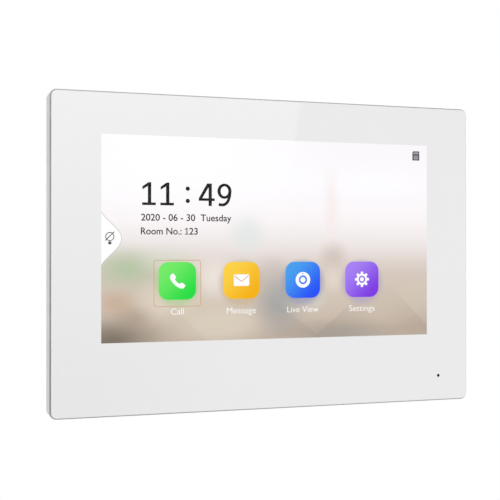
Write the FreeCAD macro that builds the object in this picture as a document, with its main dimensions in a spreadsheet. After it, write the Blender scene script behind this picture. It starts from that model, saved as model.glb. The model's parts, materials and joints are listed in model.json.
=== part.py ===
"""Video intercom monitor: a seven inch touch display in a white housing, hung on a steel wall plate.

X runs to the right as the display is read and Z runs up. The wall is the plane Y = 0, and the display
faces -Y. A depth is a distance from the wall towards the reader, so a layer at depth d lies at Y = -d.
"""
import FreeCAD, Part
import Sketcher
import math
import os
import re

V = FreeCAD.Vector

DIMENSIONS = [
    # shared allowances: how far a cut runs past a face, how deep a rib starts inside its wall, and gaps
    ("cut_past", 0.1),
    ("rooted", 0.2),
    ("fit_gap", 0.2),
    ("thread_gap", 0.05),
    # whole monitor
    ("outer_width", 200.0),
    ("outer_height", 140.0),
    ("outer_depth", 15.1),
    ("corner_radius", 3.0),
    ("parting_depth", 4.2),
    # glass, its ring and the frame behind it
    ("glass_thickness", 1.1),
    ("glass_edge", 0.3),
    ("ring_width", 0.4),
    ("ring_thickness", 0.6),
    ("ring_recess", 0.9),
    ("edge_gap", 0.1),
    ("tape_thickness", 0.1),
    ("web_thickness", 1.5),
    ("frame_wall", 1.8),
    ("frame_inner_radius", 1.7),
    ("boss_radius", 3.0),
    ("case_pilot_end", 11.0),
    ("bracket_pilot", 2.4),
    ("tape_inset", 2.0),
    ("tape_hole", 2.2),
    # display, centred above the middle of the monitor
    ("screen_z", 6.8),
    ("tray_width", 166.0),
    ("tray_height", 101.0),
    ("tray_back", 10.2),
    ("tray_front", 13.5),
    ("tray_sheet", 0.5),
    ("film_thickness", 0.3),
    ("flex_thickness", 0.2),
    ("flex_end", 49.0),
    ("flex_socket_low", 45.0),
    ("cell_thickness", 1.3),
    ("bracket_sheet", 0.8),
    ("bracket_x", 86.0),
    ("bracket_high", 40.0),
    ("bracket_low", -26.0),
    # rear cover
    ("rear_face", 0.6),
    ("rear_width", 188.0),
    ("rear_height", 128.0),
    ("rear_radius", 6.0),
    ("cavity_floor", 2.6),
    ("cavity_width", 186.0),
    ("cavity_height", 126.0),
    ("cavity_radius", 4.0),
    ("lip_width", 1.2),
    ("lip_end", 6.0),
    ("recess_floor", 2.4),
    ("recess_width", 116.0),
    ("recess_height", 93.0),
    ("recess_z", -3.0),
    ("recess_radius", 3.5),
    ("recess_wall", 1.5),
    ("well_width", 88.0),
    ("well_top", 12.0),
    ("well_bottom", -62.0),
    ("well_floor", 8.6),
    ("well_wall", 1.2),
    ("well_radius", 2.0),
    # wall plate, its four hooks and the lock catch
    ("plate_width", 112.0),
    ("plate_height", 84.0),
    ("plate_thickness", 1.2),
    ("plate_radius", 3.5),
    ("box_screw_spacing", 60.0),
    ("slot_length", 8.0),
    ("slot_radius", 2.2),
    ("window_width", 44.0),
    ("window_top", 6.0),
    ("window_bottom", -32.0),
    ("window_radius", 2.0),
    ("hook_x", 50.0),
    ("hook_z", 28.0),
    ("hook_width", 5.0),
    ("hook_lip", 4.2),
    ("hook_clearance", 0.2),
    ("hook_punch_gap", 0.5),
    ("hook_side_gap", 0.7),
    ("hook_low_gap", 0.5),
    ("lift_travel", 5.5),
    ("catch_width", 13.0),
    ("catch_sheet", 0.5),
    ("catch_root", 43.5),
    ("catch_pivot", 41.0),
    ("catch_end", 20.4),
    ("catch_radius", 1.5),
    ("catch_side_gap", 1.0),
    ("catch_end_gap", 1.2),
    ("rivet_x", 3.5),
    ("rivet_back", 0.1),
    ("rivet_shank", 0.8),
    ("rivet_hole", 1.15),
    ("rivet_head", 1.6),
    ("rivet_head_height", 0.35),
    ("nose_low", 22.0),
    ("nose_high", 23.4),
    ("nose_depth", 3.6),
    ("nose_flare_low", 1.2),
    ("nose_flare_high", 0.8),
    ("nose_inset", 1.0),
    ("nose_room", 1.4),
    ("nose_side_gap", 0.5),
    ("ramp_slope", 0.18),
    # screws
    ("case_screw_x", 91.0),
    ("case_screw_z", 61.0),
    ("case_screw_head", 2.5),
    ("case_screw_shank", 1.4),
    ("case_screw_seat", 1.7),
    ("case_screw_dome", 1.3),
    ("case_screw_end", 10.4),
    ("case_cross_length", 3.0),
    ("case_cross_width", 0.8),
    ("case_cross_depth", 0.7),
    ("case_head_gap", 0.3),
    ("small_screw_head", 1.8),
    ("small_screw_shank", 0.9),
    ("small_head_height", 1.0),
    ("small_slot_length", 2.2),
    ("small_slot_width", 0.5),
    ("small_slot_depth", 0.4),
    ("small_pilot", 3.0),
    ("board_screw_length", 3.6),
    ("bracket_screw_length", 2.8),
    # circuit boards
    ("board_sheet", 1.2),
    ("main_board_back", 7.2),
    ("main_board_width", 152.0),
    ("main_board_low", 16.0),
    ("main_board_high", 56.0),
    ("io_board_back", 9.9),
    ("io_board_left", -54.0),
    ("io_board_right", 80.0),
    ("io_board_low", -66.0),
    ("io_board_high", -46.0),
    ("post_radius", 2.4),
    ("main_post_x", 70.0),
    ("main_post_low", 20.0),
    ("main_post_high", 52.0),
    ("io_post_x", 50.0),
    ("io_post_low", -62.0),
    ("io_post_high", -50.0),
    ("cell_x", -62.0),
    ("cell_z", 36.0),
    ("can_radius", 2.6),
    ("can_height", 4.2),
    ("can_foot", 0.4),
    ("transformer_x", 74.0),
    ("transformer_z", -57.0),
    ("ribbon_left", 54.0),
    ("ribbon_right", 64.0),
    ("ribbon_low", -48.2),
    ("ribbon_high", 18.5),
    ("ribbon_rise", 0.5),
    # connectors in the cable well, all open upwards
    ("socket_x", -34.0),
    ("socket_width", 16.0),
    ("shell_sheet", 0.3),
    ("socket_back", 0.7),
    ("socket_low", -61.8),
    ("socket_high", -48.0),
    ("terminal_pitch", 3.5),
    ("terminal_back", 1.9),
    ("header_end", 1.5),
    ("header_wall", 0.9),
    ("pin_radius", 0.5),
    ("clamp_radius", 1.15),
    ("clamp_drop", 4.6),
    ("header_low", -61.0),
    ("header_high", -52.0),
    ("plug_high", -41.0),
    ("power_x", -17.0),
    ("alarm_x", 14.0),
    ("debug_x", 39.0),
    ("debug_z", -56.0),
    ("debug_width", 7.0),
    ("debug_height", 5.0),
    ("debug_wall", 0.5),
    # loudspeaker, microphone and memory card
    ("speaker_x", -72.0),
    ("speaker_z", -51.5),
    ("speaker_radius", 11.0),
    ("grille_pitch", 3.0),
    ("grille_hole", 0.8),
    ("sound_row", 24.0),
    ("sound_slot_width", 1.4),
    ("sound_slot_length", 5.0),
    ("sound_slot_depth", 8.4),
    ("microphone_x", 84.3),
    ("microphone_z", -58.1),
    ("microphone_hole", 0.68),
    ("boot_neck", 1.6),
    ("card_x", 61.5),
    ("flap_width", 18.6),
    ("flap_back", 6.4),
    ("flap_front", 11.8),
    ("flap_sheet", 0.8),
    ("card_slot_height", 3.2),
    ("card_slot_middle", 3.1),
    # vents and the blank label
    ("vent_x", 76.0),
    ("vent_z", -10.0),
    ("vent_pitch", 4.0),
    ("vent_slot", 1.6),
    ("vent_radius", 0.7),
    ("side_vent_length", 20.0),
    ("top_vent_length", 8.0),
    ("top_vent_z", 56.0),
    ("label_width", 26.0),
    ("label_height", 18.0),
    ("label_z", -34.0),
]

doc = FreeCAD.newDocument("intercom_monitor")
sheet = doc.addObject("Spreadsheet::Sheet", "Params")
for row, (alias, number) in enumerate(DIMENSIONS, start=1):
    sheet.set("A%d" % row, alias)
    sheet.set("B%d" % row, str(number))
    sheet.setAlias("B%d" % row, alias)
doc.recompute()

ALIASES = {alias for alias, number in DIMENSIONS}
PIECES = []

# depths that follow from the driving dimensions
GLASS_BACK = "outer_depth - glass_thickness"
RING_FRONT = "outer_depth - ring_recess"
RING_BACK = "outer_depth - ring_recess - ring_thickness"
WEB_FRONT = "outer_depth - glass_thickness - tape_thickness"
WEB_BACK = "outer_depth - glass_thickness - tape_thickness - web_thickness"
MAIN_BOARD_FRONT = "main_board_back + board_sheet"
IO_BOARD_FRONT = "io_board_back + board_sheet"
GLASS_INSET = "2 * (ring_width + edge_gap)"
HOOK_LIP_BACK = "parting_depth + hook_clearance"
HOOK_LIP_FRONT = "parting_depth + hook_clearance + plate_thickness"


def expression(text):
    """The text with each sheet alias given its sheet name."""
    def named(match):
        word = match.group(0)
        return "Params." + word if word in ALIASES else word
    return re.sub(r"[a-z_]+", named, text)


def value(text):
    """What an expression comes to, in millimetres."""
    return float(sheet.evalExpression(expression(text)))


def bind(sketch, text, kind, *where):
    """Adds a dimension to a sketch and binds it to an expression."""
    index = sketch.addConstraint(Sketcher.Constraint(kind, *where, value(text)))
    sketch.setExpression("Constraints[%d]" % index, expression(text))


def tie(sketch, kind, *where):
    """Adds a constraint with no number."""
    sketch.addConstraint(Sketcher.Constraint(kind, *where))


def arc(x, y, radius, start, end):
    """An arc about (x, y), with its angles in degrees."""
    circle_of_arc = Part.Circle(V(x, y, 0), V(0, 0, 1), radius)
    return Part.ArcOfCircle(circle_of_arc, math.radians(start), math.radians(end))


# ---- outlines: each returns a function that draws one closed, fully bound loop in a sketch ----

def circle(radius, x="0", y="0"):
    def draw(sketch):
        round_edge = sketch.addGeometry(Part.Circle(V(value(x), value(y), 0), V(0, 0, 1), value(radius)))
        bind(sketch, radius, "Radius", round_edge)
        bind(sketch, x, "DistanceX", -1, 1, round_edge, 3)
        bind(sketch, y, "DistanceY", -1, 1, round_edge, 3)
    return draw


def polygon(corners):
    def draw(sketch):
        points = [V(value(x), value(y), 0) for x, y in corners]
        sides = [Part.LineSegment(a, b) for a, b in zip(points, points[1:] + points[:1])]
        first = sketch.addGeometry(sides[0])
        for side in sides[1:]:
            sketch.addGeometry(side)
        for index, (x, y) in enumerate(corners):
            after = first + (index + 1) % len(corners)
            tie(sketch, "Coincident", first + index, 2, after, 1)
            bind(sketch, x, "DistanceX", -1, 1, first + index, 1)
            bind(sketch, y, "DistanceY", -1, 1, first + index, 1)
    return draw


def rectangle(width, height, x="0", y="0"):
    left, right = "(%s) - (%s) / 2" % (x, width), "(%s) + (%s) / 2" % (x, width)
    low, high = "(%s) - (%s) / 2" % (y, height), "(%s) + (%s) / 2" % (y, height)
    return polygon([(left, low), (right, low), (right, high), (left, high)])


def span(left, right, low, high):
    """A rectangle given by its sides."""
    return polygon([(left, low), (right, low), (right, high), (left, high)])


def rounded(width, height, radius, x="0", y="0"):
    """A rectangle with round corners."""
    def draw(sketch):
        cx, cy, r = value(x), value(y), value(radius)
        u, v = value(width) / 2, value(height) / 2
        lines = [
            (V(cx - u + r, cy - v, 0), V(cx + u - r, cy - v, 0)),
            (V(cx + u, cy - v + r, 0), V(cx + u, cy + v - r, 0)),
            (V(cx + u - r, cy + v, 0), V(cx - u + r, cy + v, 0)),
            (V(cx - u, cy + v - r, 0), V(cx - u, cy - v + r, 0)),
        ]
        left, right, low, high = cx - u + r, cx + u - r, cy - v + r, cy + v - r
        centres = [(right, low), (right, high), (left, high), (left, low)]
        side = [sketch.addGeometry(Part.LineSegment(*ends)) for ends in lines]
        corner = [
            sketch.addGeometry(arc(centre_x, centre_y, r, 90 * turn - 90, 90 * turn))
            for turn, (centre_x, centre_y) in enumerate(centres)
        ]
        for turn in range(4):
            tie(sketch, "Tangent", side[turn], 2, corner[turn], 1)
            tie(sketch, "Tangent", corner[turn], 2, side[(turn + 1) % 4], 1)
            tie(sketch, "Horizontal" if turn % 2 == 0 else "Vertical", side[turn])
        for turn in range(1, 4):
            tie(sketch, "Equal", corner[0], corner[turn])
        bind(sketch, radius, "Radius", corner[0])
        bind(sketch, width, "DistanceX", side[3], 1, side[1], 1)
        bind(sketch, height, "DistanceY", side[0], 1, side[2], 1)
        bind(sketch, "(%s) - (%s) / 2" % (x, width), "DistanceX", -1, 1, side[3], 1)
        bind(sketch, "(%s) - (%s) / 2" % (y, height), "DistanceY", -1, 1, side[0], 1)
    return draw


def slot(length, radius, x="0", y="0"):
    """A slot along the sketch's first axis, length from end to end."""
    def draw(sketch):
        cx, cy, r = value(x), value(y), value(radius)
        u = value(length) / 2 - r
        lower = sketch.addGeometry(Part.LineSegment(V(cx - u, cy - r, 0), V(cx + u, cy - r, 0)))
        upper = sketch.addGeometry(Part.LineSegment(V(cx + u, cy + r, 0), V(cx - u, cy + r, 0)))
        right = sketch.addGeometry(arc(cx + u, cy, r, -90, 90))
        left = sketch.addGeometry(arc(cx - u, cy, r, 90, 270))
        for before, after in ((lower, right), (right, upper), (upper, left), (left, lower)):
            tie(sketch, "Tangent", before, 2, after, 1)
        tie(sketch, "Horizontal", lower)
        tie(sketch, "Horizontal", upper)
        bind(sketch, radius, "Radius", right)
        bind(sketch, "(%s) - 2 * (%s)" % (length, radius), "DistanceX", left, 3, right, 3)
        bind(sketch, "(%s) - (%s) / 2 + (%s)" % (x, length, radius), "DistanceX", -1, 1, left, 3)
        bind(sketch, y, "DistanceY", -1, 1, left, 3)
    return draw


class Piece:
    """One sub-part as a PartDesign body.

    The plane "front" lies along the wall: its sketches hold X and Z, and its offsets are depths.
    The plane "top" is level: its sketches hold X and Y, and its offsets are heights.
    The plane "side" is upright: its sketches hold Y and Z, and its offsets run along X.
    """

    PLANES = {"front": "XZ_Plane", "top": "XY_Plane", "side": "YZ_Plane"}

    def __init__(self, label, x="0", y="0", z="0"):
        self.body = doc.addObject("PartDesign::Body", label)
        self.body.Label = label
        for axis, text in (("x", x), ("y", y), ("z", z)):
            self.body.setExpression("Placement.Base." + axis, expression(text))
        PIECES.append(self.body)

    def sketch(self, outlines, offset, plane="front", at=("0", "0")):
        sketch = self.body.newObject("Sketcher::SketchObject", "Sketch")
        role = self.PLANES[plane]
        origin_plane = next(f for f in self.body.Origin.OriginFeatures if f.Role == role)
        sketch.AttachmentSupport = [(origin_plane, "")]
        sketch.MapMode = "FlatFace"
        for axis, text in (("x", at[0]), ("y", at[1]), ("z", offset)):
            sketch.setExpression("AttachmentOffset.Base." + axis, expression(text))
        for outline in outlines:
            outline(sketch)
        return sketch

    def _feature(self, kind, outlines, start, end, plane, at):
        feature = self.body.newObject(kind, kind.split("::")[1])
        feature.Profile = self.sketch(outlines, start, plane, at)
        feature.setExpression("Length", expression("(%s) - (%s)" % (end, start)))
        return feature

    def add(self, outlines, start, end, plane="front", at=("0", "0")):
        """Material from one offset to a higher one."""
        self._feature("PartDesign::Pad", outlines, start, end, plane, at)
        doc.recompute()
        return self

    def cut(self, outlines, start, end, plane="front", at=("0", "0")):
        """A pocket from one offset to a higher one, which has to take something away."""
        before = self.body.Shape.Volume
        feature = self._feature("PartDesign::Pocket", outlines, start, end, plane, at)
        feature.Reversed = True
        doc.recompute()
        if not self.body.Shape.Volume < before:
            raise RuntimeError("%s: a pocket took nothing away" % self.body.Label)
        self.last = feature
        return self

    def loft(self, outline, start, end_outline, end):
        """A straight-sided solid between two outlines along the wall."""
        feature = self.body.newObject("PartDesign::AdditiveLoft", "Loft")
        feature.Profile = self.sketch([outline], start)
        feature.Sections = [self.sketch([end_outline], end)]
        feature.Ruled = True
        doc.recompute()
        return self

    def turn(self, corners):
        """A solid of revolution about the body's own Y axis, from corners of radius and height."""
        feature = self.body.newObject("PartDesign::Revolution", "Revolution")
        feature.Profile = self.sketch([polygon(corners)], "0", "top")
        feature.ReferenceAxis = (feature.Profile[0], ["V_Axis"])
        feature.Angle = 360
        doc.recompute()
        return self

    def repeat(self, kind, axis_name, length, count):
        """Repeats the last pocket along or around an axis of its own sketch."""
        before = self.body.Shape.Volume
        cut_feature = self.last
        pattern = self.body.newObject("PartDesign::" + kind, kind)
        pattern.Originals = [cut_feature]
        reference = (cut_feature.Profile[0], [axis_name])
        if kind == "LinearPattern":
            pattern.Direction = reference
            pattern.setExpression("Length", expression(length))
        else:
            pattern.Axis = reference
            pattern.Angle = 360
        pattern.Occurrences = count
        self.body.Tip = pattern
        doc.recompute()
        if not self.body.Shape.Volume < before:
            raise RuntimeError("%s: a pattern took nothing away" % self.body.Label)
        return self

    def soften(self, radius, chosen):
        """Fillets the edges whose bounding boxes the function chosen picks."""
        solid_so_far = self.body.Tip
        edges = enumerate(self.body.Shape.Edges, start=1)
        names = ["Edge%d" % n for n, edge in edges if chosen(edge.BoundBox)]
        feature = self.body.newObject("PartDesign::Fillet", "Fillet")
        feature.Base = (solid_so_far, names)
        feature.setExpression("Radius", expression(radius))
        doc.recompute()
        return self


def corner_points(x, z_values):
    """The same heights at x and at -x."""
    return [(sign + x, z) for sign in ("", "-") for z in z_values]


def circles(radius, points):
    return [circle(radius, x, z) for x, z in points]


CASE_SCREWS = corner_points("case_screw_x", ["case_screw_z", "0", "-case_screw_z"])
MAIN_POSTS = corner_points("main_post_x", ["main_post_low", "main_post_high"])
IO_POSTS = corner_points("io_post_x", ["io_post_low", "io_post_high"])
BRACKETS = corner_points("bracket_x", ["bracket_low", "bracket_high"])
HOOKS = ["hook_z", "-hook_z"]
RIVETS = corner_points("rivet_x", ["catch_pivot"])


# ---- wall side ----

def make_wall_plate():
    """Pressed steel plate with a cable window, two slots for the wall box screws and four hooks."""
    plate = Piece("wall_plate")
    plate.add([rounded("plate_width", "plate_height", "plate_radius")], "0", "plate_thickness")
    window_height = "window_top - window_bottom"
    window_z = "(window_top + window_bottom) / 2"
    catch_side = "(catch_width / 2 + catch_side_gap)"
    openings = [rounded("window_width", window_height, "window_radius", "0", window_z)]
    openings += [slot("slot_length", "slot_radius", side + "box_screw_spacing / 2", "0") for side in ("",
                                                                                                      "-")]
    openings.append(span("-" + catch_side, catch_side, "catch_end - catch_end_gap",
                         "catch_pivot - catch_end_gap"))
    openings += circles("rivet_hole", RIVETS)
    plate.cut(openings, "0", "plate_thickness")
    neck = "plate_thickness / 2"
    profiles = []
    for height in HOOKS:
        low, high = "%s - %s" % (height, neck), "%s + %s" % (height, neck)
        lip_top = "%s + %s + hook_lip" % (height, neck)
        lip_back, lip_front = "-(%s)" % HOOK_LIP_BACK, "-(%s)" % HOOK_LIP_FRONT
        profiles.append(polygon([
            ("0", low), ("0", high), (lip_back, high), (lip_back, lip_top), (lip_front, lip_top), (lip_front,
                                                                                                   low),
        ]))
    punched_width, punched_height = "hook_width + 2 * hook_punch_gap", "(hook_lip + 2 * hook_punch_gap)"
    for side in ("", "-"):
        middle = side + "hook_x"
        plate.cut([rectangle(punched_width, punched_height, middle,
                             "%s + %s + %s / 2" % (z, neck, punched_height))
                   for z in HOOKS], "0", "plate_thickness")
        plate.add(profiles, middle + " - hook_width / 2", middle + " + hook_width / 2", "side")


def make_lock_catch():
    """Spring leaf on the plate's front, whose nose stands in the cover's slot, and its two rivets."""
    front = "plate_thickness + catch_sheet"
    leaf = Piece("lock_catch")
    leaf.add([rounded("catch_width", "catch_root - catch_end", "catch_radius", "0",
                      "(catch_root + catch_end) / 2")],
             "plate_thickness", front)
    leaf.cut(circles("rivet_shank", RIVETS), "plate_thickness", front)
    root, tip = "-(%s) + cut_past" % front, "-nose_depth"
    nose = polygon([
        (root, "nose_low - nose_flare_low"), (root, "nose_high + nose_flare_high"),
        (tip, "nose_high"), (tip, "nose_low"),
    ])
    leaf.add([nose], "-catch_width / 2 + nose_inset", "catch_width / 2 - nose_inset", "side")
    rivets = Piece("catch_rivets")
    rivets.add(circles("rivet_shank", RIVETS), "rivet_back", front)
    rivets.add(circles("rivet_head", RIVETS), front, front + " + rivet_head_height")


# ---- housing ----

def make_rear_cover():
    """Moulded cover: a tapered pan with the plate recess, the cable well, posts, grilles and vents."""
    cover = Piece("rear_cover")
    cover.loft(rounded("rear_width", "rear_height", "rear_radius"), "rear_face",
               rounded("outer_width", "outer_height", "corner_radius"), "parting_depth")
    island = rounded("recess_width + 2 * recess_wall", "recess_height + 2 * recess_wall", "3", "0",
                     "recess_z")
    cover.cut([rounded("cavity_width", "cavity_height", "cavity_radius"), island], "cavity_floor",
              "parting_depth")
    lip_outer = "2 * (frame_wall + fit_gap)"
    lip_inner = lip_outer + " + 2 * lip_width"
    cover.add([rounded("outer_width - " + lip_outer, "outer_height - " + lip_outer,
                       "frame_inner_radius - fit_gap"),
               rounded("outer_width - (%s)" % lip_inner, "outer_height - (%s)" % lip_inner, "0.8")],
              "parting_depth", "lip_end")
    well_height, well_z = "(well_top - well_bottom)", "(well_top + well_bottom) / 2"
    rib_root = "cavity_floor - rooted"
    cover.add(circles("boss_radius", CASE_SCREWS), rib_root, "lip_end")
    cover.add([rectangle("well_width + 2 * well_wall", well_height + " + 2 * well_wall", "0", well_z)],
              rib_root, "well_floor + well_wall")
    cover.add(circles("post_radius", MAIN_POSTS), rib_root, "main_board_back")
    cover.add(circles("post_radius", IO_POSTS), rib_root, "io_board_back")
    outside = "rear_face - cut_past"
    cover.cut([rounded("well_width", well_height, "well_radius", "0", well_z)], outside, "well_floor")
    cover.cut([rounded("recess_width", "recess_height", "recess_radius", "0", "recess_z")], outside,
              "recess_floor")
    cut_well_floor_openings(cover)
    cut_cover_screw_holes(cover)
    cut_catch_and_hook_slots(cover)
    cut_vents_and_grille(cover)


def cut_well_floor_openings(cover):
    """Openings in the floor of the cable well for the connectors on the board behind it."""
    socket_side = "(socket_width / 2 + fit_gap)"
    openings = [span("socket_x - " + socket_side, "socket_x + " + socket_side,
                     "well_bottom + fit_gap", "socket_high + fit_gap")]
    for middle, poles in (("power_x", 2), ("alarm_x", 10)):
        side = "(%d * terminal_pitch / 2 + header_end + fit_gap)" % poles
        openings.append(span("%s - %s" % (middle, side), "%s + %s" % (middle, side),
                             "header_low - fit_gap", "header_high + fit_gap"))
    openings.append(rectangle("debug_width + 2 * fit_gap", "debug_height + 2 * fit_gap", "debug_x",
                              "debug_z"))
    cover.cut(openings, "well_floor - cut_past", "well_floor + well_wall + cut_past")


def cut_cover_screw_holes(cover):
    """Wells and through holes for the case screws, and blind holes in the posts."""
    seat = "rear_face + case_screw_seat"
    cover.cut(circles("case_screw_head + case_head_gap", CASE_SCREWS), "rear_face - cut_past", seat)
    cover.cut(circles("case_screw_shank + fit_gap", CASE_SCREWS), seat + " - cut_past", "lip_end + cut_past")
    for posts, board_back in ((MAIN_POSTS, "main_board_back"), (IO_POSTS, "io_board_back")):
        cover.cut(circles("small_screw_shank + thread_gap", posts),
                  board_back + " - small_pilot", board_back + " + cut_past")


def cut_catch_and_hook_slots(cover):
    """Slots that let the cover slide up off the hooks, and the ramp that presses the catch back."""
    slots = []
    for side in ("", "-"):
        left, right = (side + "hook_x " + sign + " (hook_width / 2 + hook_side_gap)" for sign in "-+")
        for height in HOOKS:
            low = height + " - plate_thickness / 2 - lift_travel - hook_low_gap"
            slots.append(span(left, right, low, height + " + plate_thickness / 2 + thread_gap"))
    inside = "parting_depth + cut_past"
    cover.cut(slots, "recess_floor - cut_past", inside)
    ramp_back, ramp_front = "(recess_floor - cut_past)", "(nose_depth + fit_gap)"
    ramp_end = "nose_low - (%s - %s) / ramp_slope" % (ramp_front, ramp_back)
    slot_top = "nose_high + nose_room"
    ramp = polygon([
        ("-" + ramp_back, ramp_end), ("-" + ramp_front, "nose_low"), ("-(%s)" % inside, "nose_low"),
        ("-(%s)" % inside, slot_top), ("-" + ramp_back, slot_top),
    ])
    cover.cut([ramp], "-catch_width / 2 - nose_side_gap", "catch_width / 2 + nose_side_gap", "side")


def cut_vents_and_grille(cover):
    """A row of vents along the top, a column at each side, and two rings of holes for the speaker."""
    through = ("rear_face - cut_past", "cavity_floor + cut_past")
    top_vents, side_vents = 19, 10
    cover.cut([rounded("vent_slot", "top_vent_length", "vent_radius")], *through,
              at=("-%d * vent_pitch / 2" % (top_vents - 1), "top_vent_z"))
    cover.repeat("LinearPattern", "H_Axis", "%d * vent_pitch" % (top_vents - 1), top_vents)
    for side in ("", "-"):
        cover.cut([rounded("side_vent_length", "vent_slot", "vent_radius")], *through,
                  at=(side + "vent_x", "vent_z"))
        cover.repeat("LinearPattern", "V_Axis", "%d * vent_pitch" % (side_vents - 1), side_vents)
    grille = ("speaker_x", "speaker_z")
    cover.cut([circle("grille_hole")], *through, at=grille)
    hexagon_side = ("1.5 * grille_pitch", "sqrt(3) / 2 * grille_pitch")
    for x, z in (("grille_pitch", "0"), ("2 * grille_pitch", "0"), hexagon_side):
        cover.cut([circle("grille_hole", x, z)], *through, at=grille)
        cover.repeat("PolarPattern", "N_Axis", "", 6)


def make_front_frame():
    """Moulded frame: the side walls, the web that carries the glass, screw bosses and side openings."""
    frame = Piece("front_frame")
    frame.add([rounded("outer_width", "outer_height", "corner_radius")], "parting_depth", RING_BACK)
    frame.add([rounded("outer_width - " + GLASS_INSET, "outer_height - " + GLASS_INSET,
                       "corner_radius - ring_width")],
              RING_BACK, WEB_FRONT)
    frame.cut([rounded("outer_width - 2 * frame_wall", "outer_height - 2 * frame_wall",
                       "frame_inner_radius")],
              "parting_depth - cut_past", WEB_BACK)
    web_behind, web_ahead = WEB_BACK + " - cut_past", WEB_FRONT + " + cut_past"
    tray_side_room, tray_end_room = "0.4", "1.4"
    frame.cut([rounded("tray_width + " + tray_side_room, "tray_height + " + tray_end_room, "1", "0",
                       "screen_z")],
              web_behind, web_ahead)
    rib_root = WEB_BACK + " + rooted"
    frame.add(circles("boss_radius", CASE_SCREWS), "lip_end + edge_gap", rib_root)
    frame.add(circles("post_radius", BRACKETS), "tray_back", rib_root)
    frame.cut(circles("case_screw_shank + thread_gap", CASE_SCREWS), "lip_end", "case_pilot_end")
    frame.cut(circles("small_screw_shank + thread_gap", BRACKETS), "tray_back - cut_past",
              "tray_back + bracket_pilot")
    frame.cut([circle("boot_neck + edge_gap", "microphone_x", "microphone_z")], web_behind, web_ahead)
    cut_bottom_openings(frame)


def cut_bottom_openings(frame):
    """Sound slots under the speaker, and the memory card slot with the seat of its flap."""
    outside = "-outer_height / 2 - cut_past"
    inside = "-outer_height / 2 + frame_wall + cut_past"
    sound_slots = 9
    frame.cut([rounded("sound_slot_width", "sound_slot_length", "0.6")], outside, inside, "top",
              at=("speaker_x - sound_row / 2", "-sound_slot_depth"))
    frame.repeat("LinearPattern", "H_Axis", "sound_row", sound_slots)
    flap_middle = "-(flap_back + flap_front) / 2"
    frame.cut([rectangle("flap_width + 2 * fit_gap", "flap_front - flap_back + 2 * fit_gap", "card_x",
                         flap_middle)],
              outside, "-outer_height / 2 + flap_sheet + cut_past", "top")
    frame.cut([rectangle("flap_width - 2", "card_slot_height", "card_x", "-(flap_back + card_slot_middle)")],
              outside, inside, "top")


def make_glass_and_ring():
    """Cover glass, the plated ring around its edge and the tape that holds it to the frame."""
    ring = Piece("trim_ring")
    ring.add([rounded("outer_width", "outer_height", "corner_radius"),
              rounded("outer_width - 2 * ring_width", "outer_height - 2 * ring_width",
                      "corner_radius - ring_width")],
             RING_BACK, RING_FRONT)
    width, height = "outer_width - " + GLASS_INSET, "outer_height - " + GLASS_INSET
    glass = Piece("cover_glass")
    glass.add([rounded(width, height, "corner_radius - ring_width - edge_gap"),
               circle("microphone_hole", "microphone_x", "microphone_z")], GLASS_BACK, "outer_depth")
    front, near_rim = -value("outer_depth"), value(width) / 2 - value("corner_radius")
    touching = 1e-6
    glass.soften("glass_edge",
                 lambda box: abs(box.YMax - front) < touching and max(-box.XMin, box.XMax) > near_rim)
    tape = Piece("glass_adhesive")
    tape.add([rounded("outer_width - 2 * tape_inset", "outer_height - 2 * tape_inset", "2"),
              rectangle("tray_width + 2", "tray_height + 3", "0", "screen_z"),
              circle("tape_hole", "microphone_x", "microphone_z")], WEB_FRONT, GLASS_BACK)


# ---- display ----

def make_display():
    """Touch film, liquid crystal cell, light guide and the steel tray that holds them."""
    inner_width, inner_height = "tray_width - 2 * tray_sheet", "tray_height - 2 * tray_sheet"
    film = Piece("touch_film")
    film.add([rectangle(inner_width, inner_height, "0", "screen_z")], GLASS_BACK + " - film_thickness",
             GLASS_BACK)
    cell_back = "tray_front - cell_thickness"
    inside = [rectangle(inner_width + " - 2 * fit_gap", inner_height + " - 2 * fit_gap", "0", "screen_z")]
    Piece("lcd_cell").add(inside, cell_back, "tray_front")
    Piece("light_guide").add(inside, "tray_back + tray_sheet + edge_gap", cell_back + " - edge_gap")
    tray = Piece("lcd_tray")
    tray.add([rounded("tray_width", "tray_height", "0.8", "0", "screen_z")], "tray_back", "tray_front")
    tray.cut([rectangle(inner_width, inner_height, "0", "screen_z")],
             "tray_back + tray_sheet", "tray_front + cut_past")
    flex_notch = rectangle("41", "1.2", "0", "screen_z + tray_height / 2")
    tray.cut([flex_notch], "tray_front - 1", "tray_front + cut_past")


def folded_strip(label, left, right, start_z, depth):
    """A flexible strip that leaves the display's top edge, turns back and lies on the main board."""
    outer_z = "screen_z + tray_height / 2 + 0.4"
    inner_z = outer_z + " - flex_thickness"
    front, under_front = "-(%s)" % depth, "-(%s) + flex_thickness" % depth
    rest = "-(%s + edge_gap)" % MAIN_BOARD_FRONT
    over_rest = rest + " - flex_thickness"
    strip = Piece(label)
    strip.add([polygon([
        (front, start_z), (front, outer_z), (rest, outer_z), (rest, "flex_end"), (over_rest, "flex_end"),
        (over_rest, inner_z), (under_front, inner_z), (under_front, start_z),
    ])], left, right, "side")


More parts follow.
